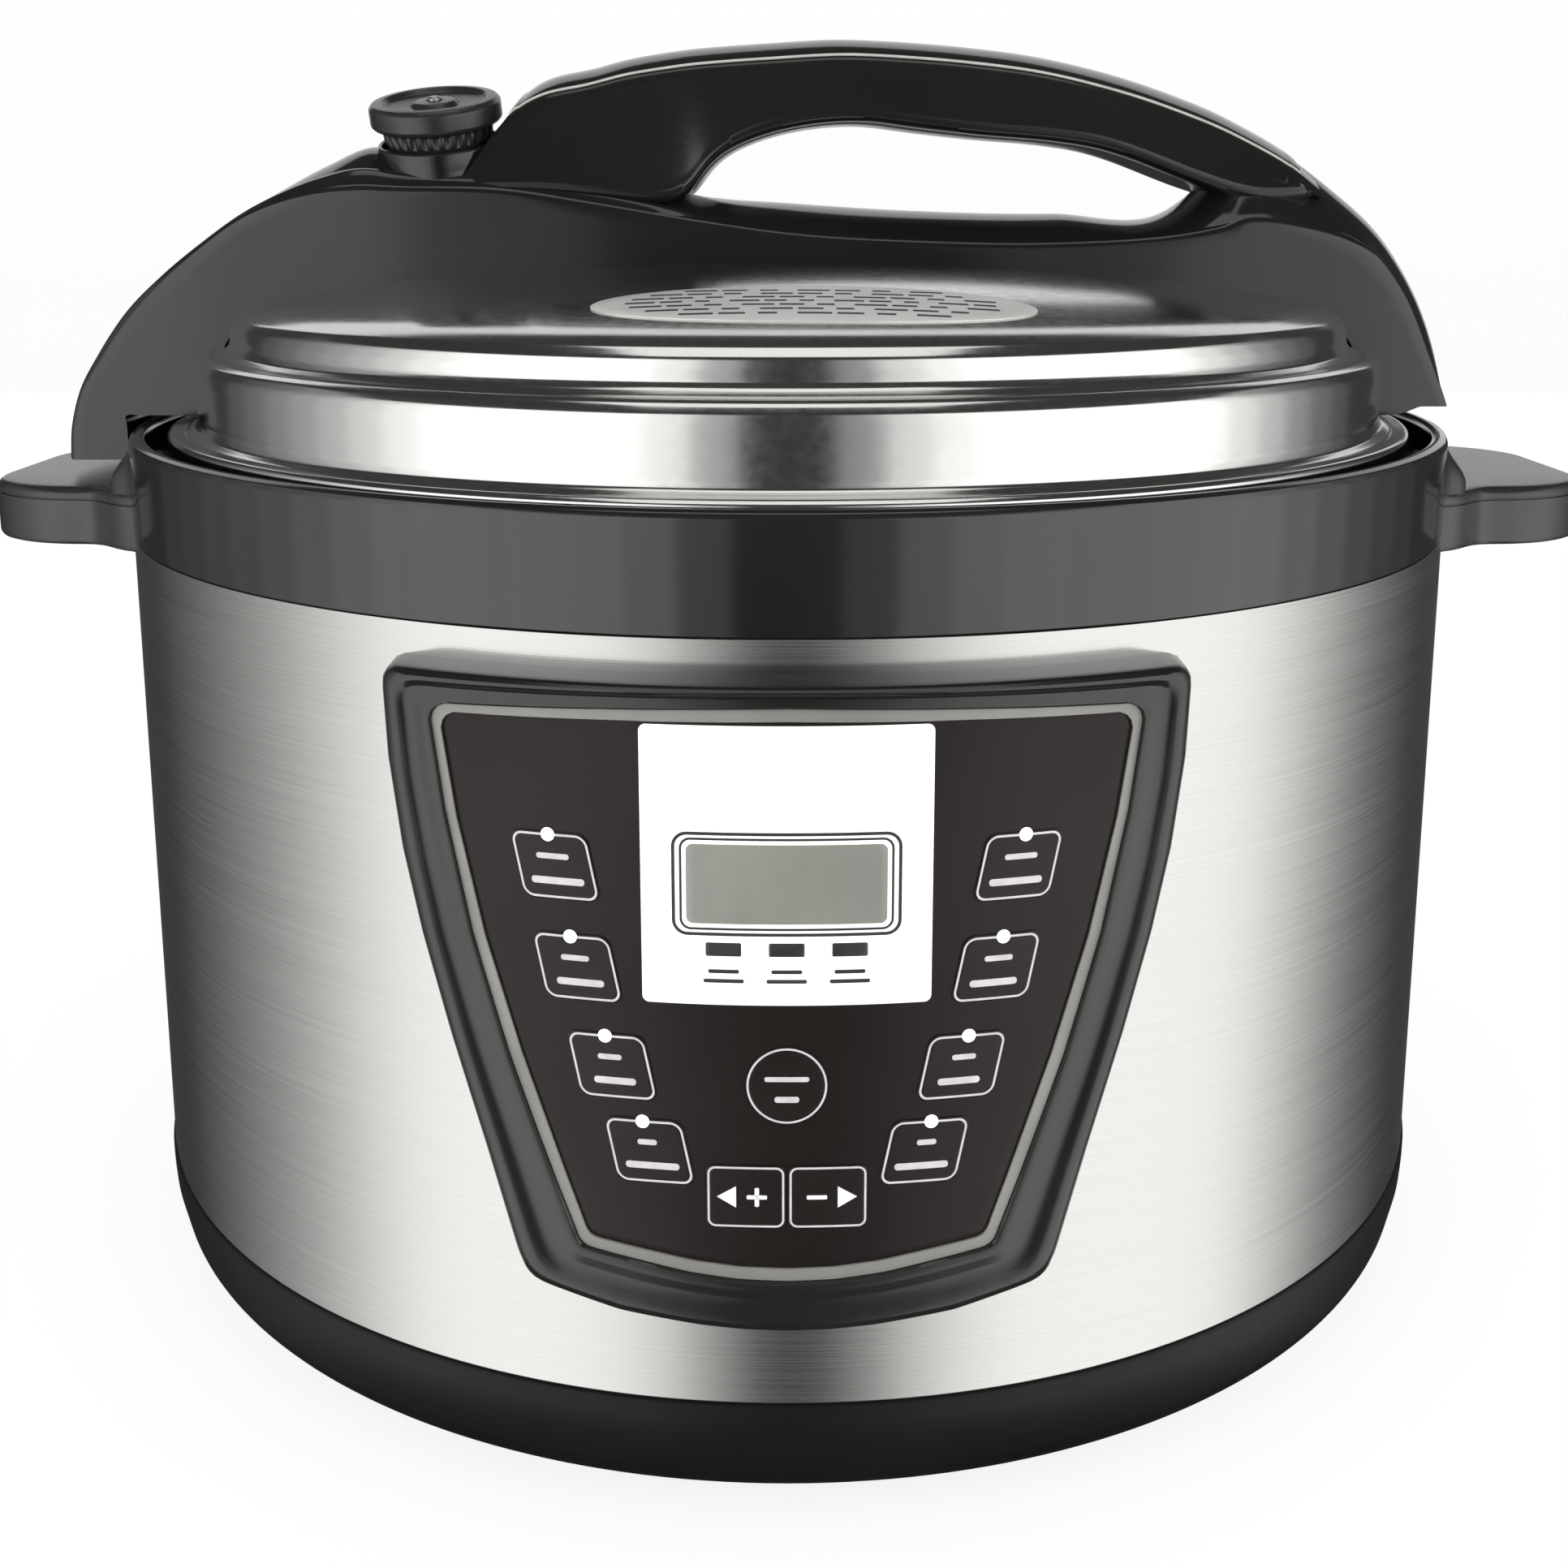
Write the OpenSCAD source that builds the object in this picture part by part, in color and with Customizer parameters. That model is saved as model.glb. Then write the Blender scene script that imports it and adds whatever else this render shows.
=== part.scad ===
// Electric pressure cooker with a bayonet lid, a bridge handle and a curved control panel.
// Millimetres. +Z is up, +X is to the user's right, and the panel faces -Y.
// The origin is the centre of the footprint, on the plane of the feet.

/* [Body] */
// Outer radius of the steel sleeve
body_r = 150; // [148:0.5:152]
// Height of the rubber feet
foot_h = 5; // [4:0.5:6]
// Radius of the circle on which the feet stand
foot_circle = 118; // [110:1:122]
// Height where the plastic base ends and the steel sleeve begins
base_top = 26.2; // [25:0.1:27]
// Height where the steel sleeve ends and the collar begins
sleeve_top = 167.9; // [167:0.1:169]
// Height of the collar's rim
collar_top = 189.4; // [189:0.1:190]
// Width of the collar's rim
rim_w = 3.7; // [3:0.1:4]
// Wall of the steel sleeve
sleeve_wall = 0.6; // [0.5:0.1:1]

/* [Side handles] */
// How far the side handles stand out from the axis
handle_reach = 183; // [178:1:188]
// Half of a side handle's width
handle_half = 39; // [34:1:42]
// Height of a side handle's underside
handle_z = 164; // [162:0.5:165]
// Depth of a side handle
handle_h = 13; // [11:0.5:13]

/* [Lid] */
// Radius of the lid's flange and skirt
flange_r = 141.9; // [141:0.1:143]
// Radius of the lid's outer wall
lid_wall_r = 135.3; // [135:0.1:136]
// Radius of the step under the lid's top disc
step_r = 127.6; // [127:0.1:128]
// Height of the middle of the lid's top
lid_top = 225; // [224:0.5:226]
// Sheet thickness of the lid
lid_wall = 1.2; // [1:0.1:1.5]
// Number of bayonet lugs
lugs = 8; // [6:1:8]
// Angle that one bayonet lug covers
lug_angle = 20; // [16:1:20]

/* [Bridge handle] */
// Half of the bridge cover's depth, front to back
bridge_half = 22; // [20:0.5:24]
// Half of the grip bar's depth
grip_half = 19; // [17:0.5:20]
// Wall of the bridge cover
cover_wall = 2.5; // [2:0.25:3]
// Thickness of the grip's top inlay
cap_t = 3; // [2:0.5:4]

/* [Valve] */
// Steam valve's place on the lid, left of the axis
valve_x = -80; // [-82:0.5:-78]
// Steam valve's place on the lid, front to back
valve_y = -5; // [-6:0.5:-4]
// Radius of the valve knob
knob_r = 15; // [13:0.5:16]
// Forward lean of the valve knob
knob_lean = 15; // [10:1:15]

/* [Panel] */
// Radius of the front of the panel's frame
panel_r = 160; // [159:0.5:161]
// Radius of the front of the black panel film
film_r = 158; // [157.5:0.5:158.5]
// Travel of a key
key_travel = 0.3; // [0.2:0.1:0.5]
// Width of a slanted key
key_w = 13.8; // [12:0.1:14]
// Height of a slanted key
key_h = 11.8; // [10:0.1:12]
// Sideways slant of a key over its height
key_slant = 2.4; // [1:0.1:3]

/* [Pot] */
// Outer radius of the cooking pot
pot_r = 119; // [117:0.5:120]
// Wall of the cooking pot
pot_wall = 1.5; // [1.2:0.1:2]
// Height of the top of the heating plate, where the pot stands
plate_top = 50; // [49:0.5:51]
// Inner radius of the pressure shell
shell_ri = 129.5; // [129:0.5:129.5]

/* [Hidden] */
$fn = 96;

far = 400;
slip = 0.3;
shell_r = shell_ri + 1.5;
sleeve_ri = body_r - sleeve_wall;
gutter_floor = 171;
lug_z = 181;
lid_lug_z = 174;
handle_wall = 3.5;
screw_z = 174.4;
key_back = 154 + key_travel;
key_angles = [14.3, 13, 10.9, 8.6];
key_heights = [129.7, 111.9, 94.5, 79.3];
round_key_z = 92.2;
round_key_r = 7;
pair_z = 71.6;
pair_w = 13.6;
pair_h = 11.6;
pair_angle = 2.56;
display_half = 24.4;
display_z = [106.6, 155.2];
glass_half = 16.8;
glass_z = [121, 134.9];
inlet_z = 43;
cup_half = 34;
cup_z = [92, 158];
cup_r = 163;
pipe_r = 4;
float_x = -106;
float_y = 12;
boss_x = [-112, -40, 40, 112];

// ---------- shared shapes ----------

module ring(r_in, r_out, z0, z1)
    translate([0, 0, z0])
        difference() {
            cylinder(r = r_out, h = z1 - z0);
            translate([0, 0, -1]) cylinder(r = r_in, h = z1 - z0 + 2);
        }

module disc(r, z0, z1) translate([0, 0, z0]) cylinder(r = r, h = z1 - z0);

module block(x, y, z) translate([x[0], y[0], z[0]]) cube([x[1] - x[0], y[1] - y[0], z[1] - z[0]]);

// A quarter of a turn of points on a circle, from angle a0 to a1
function bend(c, r, a0, a1, steps = 6) =
    [for (i = [0:steps]) c + r * [cos(a0 + (a1 - a0) * i / steps), sin(a0 + (a1 - a0) * i / steps)]];

// A closed outline from its right half, whose first and last points lie near the middle line
function mirrored(half) =
    concat(half, [for (i = [len(half) - 1:-1:0]) [-half[i][0], half[i][1]]]);

// A front-view outline (X and height) carried through to the front
module through_front(outline)
    rotate([90, 0, 0]) linear_extrude(far) polygon(outline);

// A layer of the curved panel: everything inside an outline between two radii
module panel_layer(outline, r_in, r_out)
    intersection() {
        ring(r_in, r_out, 30, 180);
        through_front(outline);
    }

// ---------- base ----------

module feet()
    color("#1c1c1b")
        for (a = [45:90:315]) rotate(a) translate([foot_circle, 0, 0]) {
            cylinder(r1 = 8.4, r2 = 9.2, h = foot_h);
            cylinder(r = 3, h = foot_h + 5);
        }

module base_ring()
    color("#1c1c1b")
        difference() {
            rotate_extrude()
                polygon(concat(
                    [[88, foot_h]], bend([body_r - 10, foot_h + 9], 9, -90, -12),
                    [[body_r + 0.5, base_top - 4], [body_r + 0.5, base_top - 0.5]],
                    [[body_r, base_top], [sleeve_ri - 0.1, base_top], [sleeve_ri - 0.1, base_top + 4]],
                    [[sleeve_ri - 2.2, base_top + 4], [sleeve_ri - 2.2, base_top - 6]],
                    [[body_r - 6, foot_h + 5], [body_r - 9, foot_h + 3], [88, foot_h + 3]]));
            for (a = [45:90:315]) rotate(a) translate([foot_circle, 0, foot_h - 1]) cylinder(r = 3, h = 5);
            for (a = [0:90:270]) rotate(a) translate([92, 0, foot_h - 1]) cylinder(r = 1.5, h = 5);
        }

module bottom_plate()
    color("#8d8d8a")
        difference() {
            disc(97, foot_h + 3, foot_h + 4.2);
            for (x = [-60:12:60]) block([x - 2, x + 2], [-30, 30], [0, 20]);
            for (a = [0:90:270]) rotate(a) translate([92, 0, 0]) cylinder(r = 1.5, h = 20);
        }

module bottom_screws()
    color("#a5a5a2")
        for (a = [0:90:270]) rotate(a) translate([92, 0, 0]) {
            translate([0, 0, foot_h - 1.6]) cylinder(r = 3, h = 1.6);
            translate([0, 0, foot_h - 0.5]) cylinder(r = 1.5, h = 6);
        }

// ---------- sleeve, collar and side handles ----------

module outer_shell()
    color("#a8a6a0")
        difference() {
            ring(sleeve_ri, body_r, base_top, sleeve_top);
            block([-30, 30], [-160, -120], [68, 142]);
            block([-21, 21], [120, 160], [inlet_z - 13, inlet_z + 13]);
        }

module collar()
    color("#3a3936")
        difference() {
            rotate_extrude()
                polygon(concat(
                    [[shell_r + 0.3, sleeve_top + 0.1], [sleeve_ri - 2, sleeve_top + 0.1]],
                    [[sleeve_ri - 2, sleeve_top - 8], [sleeve_ri - 0.1, sleeve_top - 8]],
                    [[sleeve_ri - 0.1, sleeve_top], [body_r, sleeve_top]],
                    bend([body_r - 1.6, collar_top - 1.6], 1.6, 0, 90),
                    bend([body_r - rim_w + 1.4, collar_top - 1.4], 1.4, 90, 180),
                    [[body_r - rim_w, gutter_floor], [shell_r + 0.3, gutter_floor]]));
            screw_holes();
            translate([0, 138, gutter_floor - 5]) cylinder(r = 3, h = 10);
        }

// Handle plan: a slab with rounded outer corners that widens a little at its root
module handle_plan(grow) {
    reach = handle_reach + grow;
    half = handle_half + grow;
    corner = 25 + grow;
    translate([120, -half]) square([reach - corner - 120, 2 * half]);
    translate([120, corner - half]) square([reach - 120, 2 * (half - corner)]);
    for (s = [-1, 1]) translate([reach - corner, s * (half - corner)]) circle(r = corner);
    if (grow == 0)
        for (s = [-1, 1])
            polygon([[130, s * half], [155, s * half], [151, s * (half + 3)], [146, s * (half + 9)],
                     [130, s * (half + 9)]]);
}

module handle()
    difference() {
        translate([0, 0, handle_z]) linear_extrude(handle_h) handle_plan(0);
        translate([0, 0, handle_z - 1]) linear_extrude(handle_h - handle_wall + 1) handle_plan(-handle_wall);
        disc(body_r + 0.02, handle_z - 2, handle_z + handle_h + 2);
    }

// The two posts inside each handle take the screws that come through the collar
module handle_posts()
    difference() {
        for (y = [-26, 26]) translate([140, y, 0])
            block([0, 20], [-5, 5], [handle_z + 3, handle_z + handle_h - handle_wall]);
        disc(body_r + 0.02, handle_z - 2, handle_z + handle_h + 2);
    }

module screw_holes()
    for (s = [0, 180], y = [-26, 26]) rotate(s) translate([138, y, screw_z])
        rotate([0, 90, 0]) cylinder(r = 1.6, h = 20);

module handle_right()
    color("#2c2b29")
        difference() {
            union() {
                handle();
                handle_posts();
            }
            screw_holes();
        }

module handle_left()
    color("#2c2b29")
        rotate(180) difference() {
            union() {
                handle();
                handle_posts();
            }
            screw_holes();
        }

module handle_screws()
    color("#a5a5a2")
        for (s = [0, 180], y = [-26, 26]) rotate(s) translate([0, y, screw_z]) rotate([0, 90, 0]) {
            translate([0, 0, 141.9]) cylinder(r = 1.6, h = 15);
            translate([0, 0, 141.6]) cylinder(r = 3, h = 1.8);
        }

// ---------- pressure shell and heater ----------

module lug_set(r_in, r_out, z0, z1)
    for (i = [0:lugs - 1]) rotate(i * 360 / lugs - lug_angle / 2)
        rotate_extrude(angle = lug_angle) translate([r_in, z0]) square([r_out - r_in, z1 - z0]);

module pressure_shell()
    color("#b9b9b6") {
        rotate_extrude()
            polygon([[60, 34], [shell_r, 34], [shell_r, gutter_floor], [shell_r + 4, gutter_floor],
                     [shell_r + 4, gutter_floor + 1.6], [shell_r, gutter_floor + 1.6],
                     [shell_r, lug_z + 3], [shell_ri, lug_z + 3], [shell_ri, 36], [60, 36]]);
        lug_set(shell_r - 0.2, 138.5, lug_z, lug_z + 3);
    }

module spring_plate() color("#9a9a96") ring(62, 84, 36, 37.2);

module heating_plate()
    color("#8f8f8c")
        difference() {
            disc(94, 37.2, plate_top);
            disc(5, 30, plate_top + 1);
            disc(13, 38.4, plate_top + 1);
            rotate_extrude() translate([50, 40]) circle(r = 4, $fn = 32);
        }

module heating_element()
    color("#6e6b66") {
        rotate_extrude() translate([50, 40]) circle(r = 4, $fn = 32);
        for (a = [-12, 12]) rotate(a) translate([50, 0, 26]) cylinder(r = 3, h = 12, $fn = 32);
    }

module thermostat_sensor()
    color("#c2c2be") {
        disc(12, 43, plate_top);
        disc(4, 30, 43.5);
    }

module sensor_spring()
    color("#8a8a88")
        for (i = [0:4]) translate([0, 0, 39 + i * 0.85])
            rotate_extrude() translate([6.5, 0]) circle(r = 0.6, $fn = 16);

module pressure_switch()
    color("#cfcac0") {
        block([64, 84], [-7, 7], [foot_h + 4.2, 28]);
        block([72, 76], [-2, 2], [27.5, 33.8]);
    }

module thermal_fuse()
    color("#d8d2c4")
        translate([-80, -14, 31.2]) rotate([-90, 0, 0]) cylinder(r = 2.8, h = 28, $fn = 32);

module power_board() color("#3f6b45") block([-58, 30], [-52, 44], [14, 15.6]);

module power_parts()
    color("#54524e") {
        block([-52, -30], [-44, -22], [15.6, 31]);
        block([-20, 2], [-46, -30], [15.6, 29]);
        block([-54, -40], [4, 34], [15.6, 27]);
        for (x = [-24, -8, 10]) translate([x, 18, 15.6]) cylinder(r = 6, h = 15, $fn = 32);
        for (x = [-52, 24], y = [-46, 34])
            translate([x, y, foot_h + 4.2]) cylinder(r = 2.5, h = 9.8 - foot_h);
    }

module wiring()
    color("#b34c3c") {
        for (x = [-3, 0, 3]) translate([x, 42, 15.6]) cylinder(r = 1.2, h = 16.2, $fn = 16);
        for (x = [-3, 0, 3])
            translate([x, 42, 31.8]) rotate([-90, 0, 0]) cylinder(r = 1.2, h = 92, $fn = 16);
        for (x = [8, 12]) translate([x, -52, 20]) rotate([90, 0, 0]) cylinder(r = 1.2, h = 80.3, $fn = 16);
        for (x = [8, 12]) translate([x, -132.3, 18.8]) cylinder(r = 1.2, h = 48, $fn = 16);
    }

module control_board()
    color("#3f6b45")
        block([-52, 52], [-135.2, -133.6], [66, 150]);

// ---------- control panel ----------

// Right half of the frame's outline, from the middle of its top down to the middle of its foot
frame_half = concat(
    [[0, 162]], bend([66.2, 159], 3, 90, 0, 3),
    [[68.7, 146], [66.7, 130], [63.6, 115], [58.9, 97], [52.9, 76.4], [47.6, 57]],
    bend([42.2, 57], 5, 0, -70, 3), [[29.5, 48.7], [15, 47], [0, 46.4]]);

// Right half of the film's outline
film_half = concat(
    [[0, 156], [30, 155.6]], bend([55.4, 152], 3, 80, 0, 3),
    [[56.2, 136.8], [51.7, 115.9], [45.7, 95.2], [38.3, 73.3], [35.6, 65.6]],
    bend([32.3, 65], 3, 0, -80, 3), [[16.8, 59.9], [0, 58]]);

// The same half outline moved out by g
function grown(half, g) =
    [for (p = half) [p[0] == 0 ? 0 : p[0] + g, p[1] + g * (p[1] > 110 ? 1 : -1) * (p[0] > 45 ? 0.2 : 1)]];

module panel_bezel()
    color("#2b2a29")
        difference() {
            panel_layer(mirrored(frame_half), body_r + 0.02, panel_r);
            panel_layer(mirrored(grown(film_half, 2.4)), 154.6, panel_r + 2);
            panel_layer(mirrored(grown(film_half, -2)), body_r - 2, panel_r + 2);
        }

module panel_border()
    color("#82827a")
        difference() {
            panel_layer(mirrored(grown(film_half, 2.35)), 154.6, film_r + 0.5);
            panel_layer(mirrored(film_half), 156.5, film_r + 2);
            panel_layer(mirrored(grown(film_half, -2)), 150, film_r + 2);
        }

module key_membrane() color("#5d6660") panel_layer(mirrored(grown(film_half, -2.3)), 151.6, 153.2);

// Faces of the slanted keys: side is -1 on the left and 1 on the right
module key_face(side, gap)
    offset_free_quad(key_w + 2 * gap, key_h + 2 * gap, -side * key_slant);

module offset_free_quad(w, h, slant)
    polygon([[-w / 2 - slant / 2, -h / 2], [w / 2 - slant / 2, -h / 2],
             [w / 2 + slant / 2, h / 2], [-w / 2 + slant / 2, h / 2]]);

// Carries a flat outline along the panel's radius at an angle and a height
module along_radius(angle, z)
    rotate(angle) translate([0, 0, z]) rotate([90, 0, 0]) linear_extrude(far) children();

module slanted_key(side, i)
    color("#241e1d")
        intersection() {
            ring(key_back, film_r + 0.35, 40, 170);
            along_radius(side * key_angles[i], key_heights[i]) key_face(-side, 0);
        }

module pair_key(side)
    color("#241e1d")
        intersection() {
            ring(key_back, film_r + 0.35, 40, 170);
            along_radius(side * pair_angle, pair_z) square([pair_w, pair_h], center = true);
        }

module key_round()
    color("#241e1d")
        intersection() {
            ring(key_back, film_r + 0.35, 40, 170);
            along_radius(0, round_key_z) circle(r = round_key_r);
        }

module key_left_1() slanted_key(-1, 0);
module key_left_2() slanted_key(-1, 1);
module key_left_3() slanted_key(-1, 2);
module key_left_4() slanted_key(-1, 3);
module key_right_1() slanted_key(1, 0);
module key_right_2() slanted_key(1, 1);
module key_right_3() slanted_key(1, 2);
module key_right_4() slanted_key(1, 3);
module key_minus() pair_key(1);
module key_plus() pair_key(-1);

module key_openings() {
    for (side = [-1, 1], i = [0:3]) along_radius(side * key_angles[i], key_heights[i]) key_face(-side, slip);
    for (side = [-1, 1])
        along_radius(side * pair_angle, pair_z)
            square([pair_w + 2 * slip, pair_h + 2 * slip], center = true);
    along_radius(0, round_key_z) circle(r = round_key_r + slip);
}

module display_outline(grow)
    along_radius(0, 0) {
        r = 5;
        translate([-display_half - grow, display_z[0] + r - grow])
            square([2 * (display_half + grow), display_z[1] - display_z[0] - r + 2 * grow]);
        translate([-display_half + r, display_z[0] - grow]) square([2 * (display_half - r), 2 * r]);
        for (s = [-1, 1]) translate([s * (display_half - r), display_z[0] + r]) circle(r = r + grow);
    }

module bar_cuts(grow)
    for (x = [-10.6, 0, 10.6])
        along_radius(0, 116.5) translate([x, 0]) square([6 + grow, 2.4 + grow], center = true);

module panel_film()
    color("#241e1d")
        difference() {
            panel_layer(mirrored(film_half), 156.7, film_r);
            key_openings();
            intersection() {
                ring(150, 170, 30, 180);
                display_outline(0.02);
            }
        }

module display_window()
    color("#f4f4f2")
        difference() {
            intersection() {
                ring(156.7, film_r + 0.05, 100, 155.2);
                display_outline(0);
            }
            along_radius(0, 0) translate([-glass_half, glass_z[0]])
                square([2 * glass_half, glass_z[1] - glass_z[0]]);
            bar_cuts(0);
        }

module lcd_glass()
    color("#83837b")
        intersection() {
            ring(156.6, film_r - 0.15, 110, 150);
            along_radius(0, 0) translate([-glass_half + 0.05, glass_z[0] + 0.05])
                square([2 * glass_half - 0.1, glass_z[1] - glass_z[0] - 0.1]);
        }

module indicator_bars()
    color("#2a2a28")
        intersection() {
            ring(156.6, film_r + 0.12, 110, 150);
            bar_cuts(-0.04);
        }

module lcd_module()
    color("#4c6a58")
        difference() {
            block([-19, 19], [-155.2, -153.4], [118, 138]);
            ring(156.4, 170, 100, 150);
        }

module status_leds()
    color("#f7f7f2")
        for (side = [-1, 1], i = [0:3]) rotate(side * key_angles[i])
            translate([side * key_slant / 2, 0, key_heights[i] + key_h / 2 - 1])
                rotate([90, 0, 0]) translate([0, 0, 153.2]) cylinder(r = 1.1, h = 0.6, $fn = 24);

// ---------- rear: power inlet and condensate cup ----------

module power_inlet()
    color("#1d1d1c")
        difference() {
            union() {
                block([-20.5, 20.5], [134, 157], [inlet_z - 12.5, inlet_z + 12.5]);
                difference() {
                    block([-25, 25], [140, 159], [inlet_z - 15, inlet_z + 15]);
                    disc(body_r + 0.02, 0, 100);
                }
            }
            block([-12.3, 12.3], [142, 160], [inlet_z - 8.3, inlet_z + 8.3]);
            pin_blocks(142);
        }

// The three pins, from inside the inlet's back wall to a plane across them
module pin_blocks(front)
    for (p = [[-7, -2], [0, 2], [7, -2]])
        block([p[0] - 1, p[0] + 1], [136, front], [inlet_z + p[1] - 2.2, inlet_z + p[1] + 2.2]);

module inlet_pins() color("#c9c9c4") pin_blocks(153);

// Everything behind the body from x0 to x1 on side s, up to a height
module side_block(s, x0, x1, top)
    translate([s * (x0 + x1) / 2 - (x1 - x0) / 2, 100, 0]) cube([x1 - x0, 100, top]);

module cup_bracket()
    color("#2c2b29") {
        intersection() {
            ring(body_r + 0.02, cup_r - 1, cup_z[1] + 2, cup_z[1] + 6);
            block([-cup_half - 6, cup_half + 6], [100, 200], [0, 200]);
        }
        for (s = [-1, 1]) intersection() {
            ring(body_r + 0.02, cup_r - 1, cup_z[1] - 5, cup_z[1] + 3);
            union() {
                side_block(s, cup_half + 4.3, cup_half + 6, 200);
                side_block(s, cup_half + 1.5, cup_half + 5, cup_z[1] - 3.2);
            }
        }
    }

module condensate_cup()
    color("#c9cdcf")
        difference() {
            union() {
                intersection() {
                    ring(body_r + 0.5, cup_r, cup_z[0], cup_z[1]);
                    block([-cup_half, cup_half], [100, 200], [0, 200]);
                }
                intersection() {
                    ring(body_r + 0.5, cup_r - 1.5, cup_z[1] - 2.9, cup_z[1] - 1.3);
                    block([-cup_half - 4, cup_half + 4], [100, 200], [0, 200]);
                }
            }
            intersection() {
                ring(body_r + 2, cup_r - 1.5, cup_z[0] + 1.5, cup_z[1] + 1);
                block([-cup_half + 1.5, cup_half - 1.5], [100, 200], [0, 200]);
            }
        }

// ---------- pot ----------

module inner_pot()
    color("#4a4a4a")
        rotate_extrude()
            polygon(concat(
                [[0, plate_top]], bend([pot_r - 12, plate_top + 12], 12, -90, 0),
                [[pot_r, 183.6], [126.2, 183.6], [126.6, 184.4], [126.2, 185.2], [pot_r - pot_wall, 185.2]],
                bend([pot_r - 12, plate_top + 12], 12 - pot_wall, 0, -90), [[0, plate_top + pot_wall]]));

// ---------- lid ----------

// Height of the top disc's outer face at a radius
function dome(r) = lid_top - 10 * pow(r / 126, 2.9);

lid_outside = concat(
    [for (r = [0:14:112]) [r, dome(r)]], [[120, dome(120)], [125.4, dome(125.4)]],
    [[step_r - 0.7, lid_top - 11], [step_r, lid_top - 12.4], [step_r, 208.8], [step_r + 0.8, 207.2]],
    [[step_r + 2.4, 206.4], [131, 205.9], [131.6, 206.4]],
    bend([lid_wall_r - 2.4, 203.9], 2.4, 90, 0),
    [[lid_wall_r, 191.4], [lid_wall_r + 0.6, 190.2], [lid_wall_r + 1.6, 189.9]],
    [[137.8, 189.5], [138.4, 189.9], [flange_r - 1, 189.9]],
    bend([flange_r - 1, 188.9], 1, 90, 0, 3), [[flange_r, lid_lug_z]]);

lid_inside = concat(
    [[flange_r - lid_wall, lid_lug_z], [flange_r - lid_wall, 188.6]],
    [[lid_wall_r - lid_wall, 188.7], [lid_wall_r - lid_wall, 203.4], [lid_wall_r - 2.6, 204.8]],
    [[step_r - lid_wall, 205.4], [step_r - lid_wall, lid_top - 12.8]],
    [for (r = [122:-14:10]) [r, dome(r) - lid_wall]], [[0, lid_top - lid_wall]]);

module lid_envelope(gap)
    translate([0, 0, gap]) rotate_extrude()
        polygon(concat([[0, 150]], [for (p = lid_outside) if (p[1] > 190.5) [p[0] == 0 ? 0 : p[0] + gap, p[1]]],
                       [[lid_wall_r + gap, 150]]));

module lid_shell()
    color("#c6c5c0") {
        difference() {
            rotate_extrude() polygon(concat(lid_outside, lid_inside));
            translate([valve_x, valve_y, 200]) cylinder(r = pipe_r + 0.02, h = 40);
            translate([float_x, float_y, 200]) cylinder(r = 3, h = 40);
            for (x = boss_x) translate([x, 0, 200]) cylinder(r = 1.8, h = 40);
        }
        translate([0, 0, 188]) cylinder(r = 4, h = lid_top - lid_wall - 188);
        lug_set(132.6, flange_r - lid_wall + 0.2, lid_lug_z, lid_lug_z + 3);
    }

module liner_nut()
    color("#3b3b39")
        difference() {
            disc(9, 185.6, 189.4);
            disc(4, 188, 190);
        }

module lid_liner()
    color("#b4b4b0")
        difference() {
            rotate_extrude()
                polygon([[4.3, 189.8], [112, 189.8], [118.4, 190.6], [128, 190.6], [128, 192.6],
                         [126.8, 192.6], [126.8, 191.8], [118, 191.8], [111.6, 191], [4.3, 191]]);
            for (a = [0:60:300]) rotate(a) translate([60, 0, 180]) block([-6, 6], [-2, 2], [0, 20]);
        }

module sealing_ring()
    color("#d9d7cf")
        rotate_extrude()
            polygon([[119, 190.6], [119, 187.6], [120.4, 185.6], [126.4, 185.6], [127.6, 187.2],
                     [127.6, 190.6]]);

module lid_label()
    color("#dcdcd8")
        intersection() {
            difference() {
                translate([0, 0, 0.6]) rotate_extrude()
                    polygon(concat([[0, 200]], [for (r = [0:9:126]) [r, dome(r)]], [[126, 200]]));
                rotate_extrude()
                    polygon(concat([[0, 190]], [for (r = [0:9:126]) [r, dome(r) + 0.02]], [[126, 190]]));
            }
            translate([0, 0, 205]) linear_extrude(30) translate([5, -96]) label_plan();
        }

// Ellipse 84 by 34 that names no maker
module label_plan() polygon([for (a = [0:10:350]) [42 * cos(a), 17 * sin(a)]]);

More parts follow.
